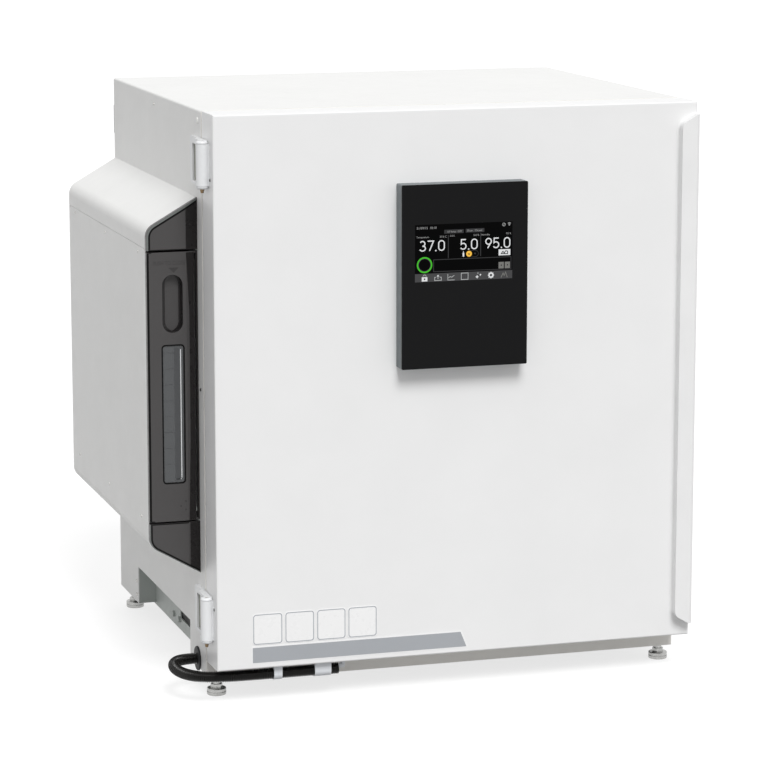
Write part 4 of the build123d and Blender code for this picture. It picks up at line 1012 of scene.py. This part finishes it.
# Black strips of painted shade behind the slots in the base rails.
shade_backings = bmesh.new()
strip = ((296, 47), (370, 47), (370, 66), (296, 66))
for x in (32.0, 737.5):
    slab(shade_backings, [spot(x, y, z) for y, z in strip], (0.0005, 0, 0))
piece(shade_backings, "rail_slot_shade_backings", black_frame_and_painted_shade, "cabinet")

# %% [markdown]
# ## Dark mouldings of the side housing
#
# The three mouldings carry painted light and shade: along the rounded edge a band of
# painted highlight and inside it a line of painted shade, a nearly black strip of painted
# shade where the face slants back beside the cabinet, and black bands of painted shade
# that widen the seams between them. Each of these is a skin a sixth of a millimetre
# thick on the moulding's face. The rims follow the housing's outline: along the outer
# side, round a corner of 22 mm and up or down the slope.

# %% Painted highlight and shade on the mouldings' rims, strips and seams
FACE_Y = 97.0
SKIN = 0.15
SKIN_BACK = (0, 0.00015, 0)
SLOPE = 46.0 / 80.0
ALONG = math.hypot(1.0, SLOPE)
EDGE_R = 22.0


def on_face(x, z, lift=SKIN):
    """A point just in front of the mouldings' face, which slants back right of x = -19."""
    return spot(x, FACE_Y + 0.2 * max(0.0, x + 19.0) - lift, z)


def housing_line(inset, joint_z, wall_z, up):
    """The housing's outline from a joint to the cabinet, moved inwards."""
    mid_x = -80 + EDGE_R
    mid_z = wall_z + up * (SLOPE * mid_x - EDGE_R * ALONG)
    line = [on_face(-80 + inset, joint_z)]
    for x, z in arc(mid_x, 0, EDGE_R - inset, EDGE_R - inset, 180, 120, 8):
        line.append(on_face(x, mid_z + up * z))
    for x in (-19.0, -0.6):
        line.append(on_face(x, wall_z + up * (SLOPE * x - inset * ALONG)))
    return line


def face_plate(made, points):
    slab(made, [on_face(x, z) for x, z in points], SKIN_BACK)


def bar(made, x0, x1, z0, z1):
    face_plate(made, [(x0, z0), (x1, z0), (x1, z1), (x0, z1)])


# Rims: a grey band of painted highlight on the rounded edge, then a black band of painted shade.
highlight_bands = bmesh.new()
shade_bands = bmesh.new()
for joint_z, wall_z, up, light_w in ((693.6, 772.0, 1, 3.0), (271.4, 190.0, -1, 1.4)):
    lines = [housing_line(inset, joint_z, wall_z, up) for inset in (0.2, light_w, light_w + 2.8)]
    band(highlight_bands, lines[0], lines[1], SKIN_BACK, closed=False)
    band(shade_bands, lines[1], lines[2], SKIN_BACK, closed=False)
# Black bars of painted shade that widen the seams at the joints.
bar(shade_bands, -74.0, -19.0, 693.6, 694.8)
bar(shade_bands, -75.5, -19.0, 269.8, 271.4)
piece(highlight_bands, "cover_highlight_bands", rim_painted_highlight, "cabinet")
piece(shade_bands, "cover_shade_bands", black_frame_and_painted_shade, "cabinet")
# Nearly black strips of painted shade where the mouldings' face slants back beside the cabinet.
strips = bmesh.new()
face_plate(strips, [(-19, 693.6), (-0.6, 693.6), (-0.6, 764.8), (-19, 754.2)])
face_plate(strips, [(-16.5, 271.4), (-16.5, 204.5), (-0.6, 195.4), (-0.6, 271.4)])
piece(strips, "cover_shade_strips", smoke_painted_shade, "cabinet")
# The same painted shade on the drawer's slanted strip and in a thin strip by its gap.
drawer_shade_strips = bmesh.new()
drawer_strip = [(-19, 689.2), (-14.5, 600), (-14.5, 400), (-17.5, 275), (-6.7, 275), (-6.7, 689.2)]
face_plate(drawer_shade_strips, drawer_strip)
bar(drawer_shade_strips, -2.9, -1.2, 275.0, 690.0)
piece(drawer_shade_strips, "drawer_shade_strips", smoke_painted_shade, "reservoir")
# Black bands of painted shade along the drawer's outer edge and at its seams.
drawer_shade_bands = bmesh.new()
bar(drawer_shade_bands, -79.8, -76.6, 275.0, 690.0)
bar(drawer_shade_bands, -76.6, -6.7, 689.2, 690.4)
bar(drawer_shade_bands, -76.6, -6.7, 274.7, 276.2)
piece(drawer_shade_bands, "drawer_shade_bands", black_frame_and_painted_shade, "reservoir")
print("rims and strips on three mouldings")

# %% [markdown]
# The finger recess is a slot with round ends. Its wall is darker than its floor, and the
# floor darkens towards both sides: painted shade, drawn in the nearly black plastic. Above
# it an arrow and three faint words are moulded into the front, and low down there are
# three small vents.

# %% Finger recess, its arrow and words
GRIP_X, GRIP_LOW, GRIP_HIGH, GRIP_R, GRIP_D = -40.5, 583.0, 640.0, 16.0, 13.0


def grip_line(radius, depth, first=0, last=360):
    """The recess's outline, two half circles, as points in metres."""
    out = []
    for x, z in arc(GRIP_X, 0, radius, radius, first, last, 32):
        out.append(spot(x, FACE_Y + depth, (GRIP_HIGH if z >= 0 else GRIP_LOW) + z))
    return out


# Painted shade on the recess's wall and on both sides of its floor.
grip_shade_bands = bmesh.new()
band(grip_shade_bands, grip_line(GRIP_R - 0.05, 0.6)[:-1], grip_line(GRIP_R - 0.4, 0.6)[:-1], (0, 0.0122, 0))
for first, last, width in ((95, 265, 6.5), (-85, 80, 3.6)):
    outer = grip_line(GRIP_R - 0.5, GRIP_D - 0.2, first, last)
    inner = []
    for i, at in enumerate(outer):
        reach = width * min(1.0, 3 * math.sin(math.pi * (0.02 + 0.96 * i / 32)))
        inner.append(at + Vector((reach / 1000 if at.x < spot(GRIP_X, 0, 0).x else -reach / 1000, 0, 0)))
    band(grip_shade_bands, outer, inner, (0, 0.0002, 0), closed=False)
piece(grip_shade_bands, "grip_shades", smoke_painted_shade, "reservoir")
mould_marks = bmesh.new()
face_plate(mould_marks, [(-46.6, 667.0), (-30.4, 667.0), (-38.5, 659.0)])
points, faces = letters("PUSH TO CLOSE", 9.2)
widest = max(p.x for p in points)
corners = []
for p in points:
    x = -70.5 + 50.5 * p.x / widest
    corners.append(mould_marks.verts.new(on_face(x, 671.0 + p.y, SKIN if p.z > 0 else -0.05)))
for face in faces:
    mould_marks.faces.new([corners[i] for i in face])
for x, z in ((-23.3, 305.0), (-30.9, 297.9), (-23.3, 292.0)):
    spun(mould_marks, spot(x, FACE_Y, z), FRONT, [(0.0014, -0.0001), (0.0014, 0.00016)], 12)
piece(mould_marks, "drawer_marks", smoke_mark, "reservoir")
print("recess, arrow, words and vents on the reservoir front")

# %% [markdown]
# The level window has a black frame with round corners. Behind its pane there is a
# scale of thin dark lines, a darker upright, and one bright line of painted highlight up
# the right side that turns along the bottom.

# %% Level window
window_frame = bmesh.new()
outer = rounded_outline(-58.6, -22.4, 332.9, 549.1, 6.0, FACE_Y - SKIN)
inner = rounded_outline(-56.4, -24.6, 335.1, 546.9, 4.0, FACE_Y - SKIN)
band(window_frame, outer, inner, SKIN_BACK)
piece(window_frame, "window_frame", black_frame_and_painted_shade, "reservoir")
scale_dark = moulded("scale_dark", (0.055, 0.057, 0.06), 0.4)
# Light grey of the painted highlight in the level window.
window_highlight_paint = moulded("window_highlight_paint", (0.75, 0.76, 0.77), 0.4)
PANE_Y = FACE_Y + 1.2
bars = bmesh.new()


def pane_mark(made, x0, x1, z0, z1):
    outline = [spot(x, PANE_Y - 0.1, z) for x, z in ((x0, z0), (x1, z0), (x1, z1), (x0, z1))]
    slab(made, outline, (0, 0.0002, 0))


for i in range(8):
    pane_mark(bars, -55.5, -39.0, 535.6 - 24.6 * i, 536.6 - 24.6 * i)
pane_mark(bars, -39.0, -30.5, 338.0, 544.0)
piece(bars, "window_scale", scale_dark, "reservoir")
# A painted highlight: a bright line up the window's right side and along its bottom.
upright = bmesh.new()
pane_mark(upright, -29.4, -28.2, 342.0, 541.0)
pane_mark(upright, -37.0, -29.4, 339.5, 340.6)
piece(upright, "window_highlight_line", window_highlight_paint, "reservoir")
print("level window with a scale of 8 lines")
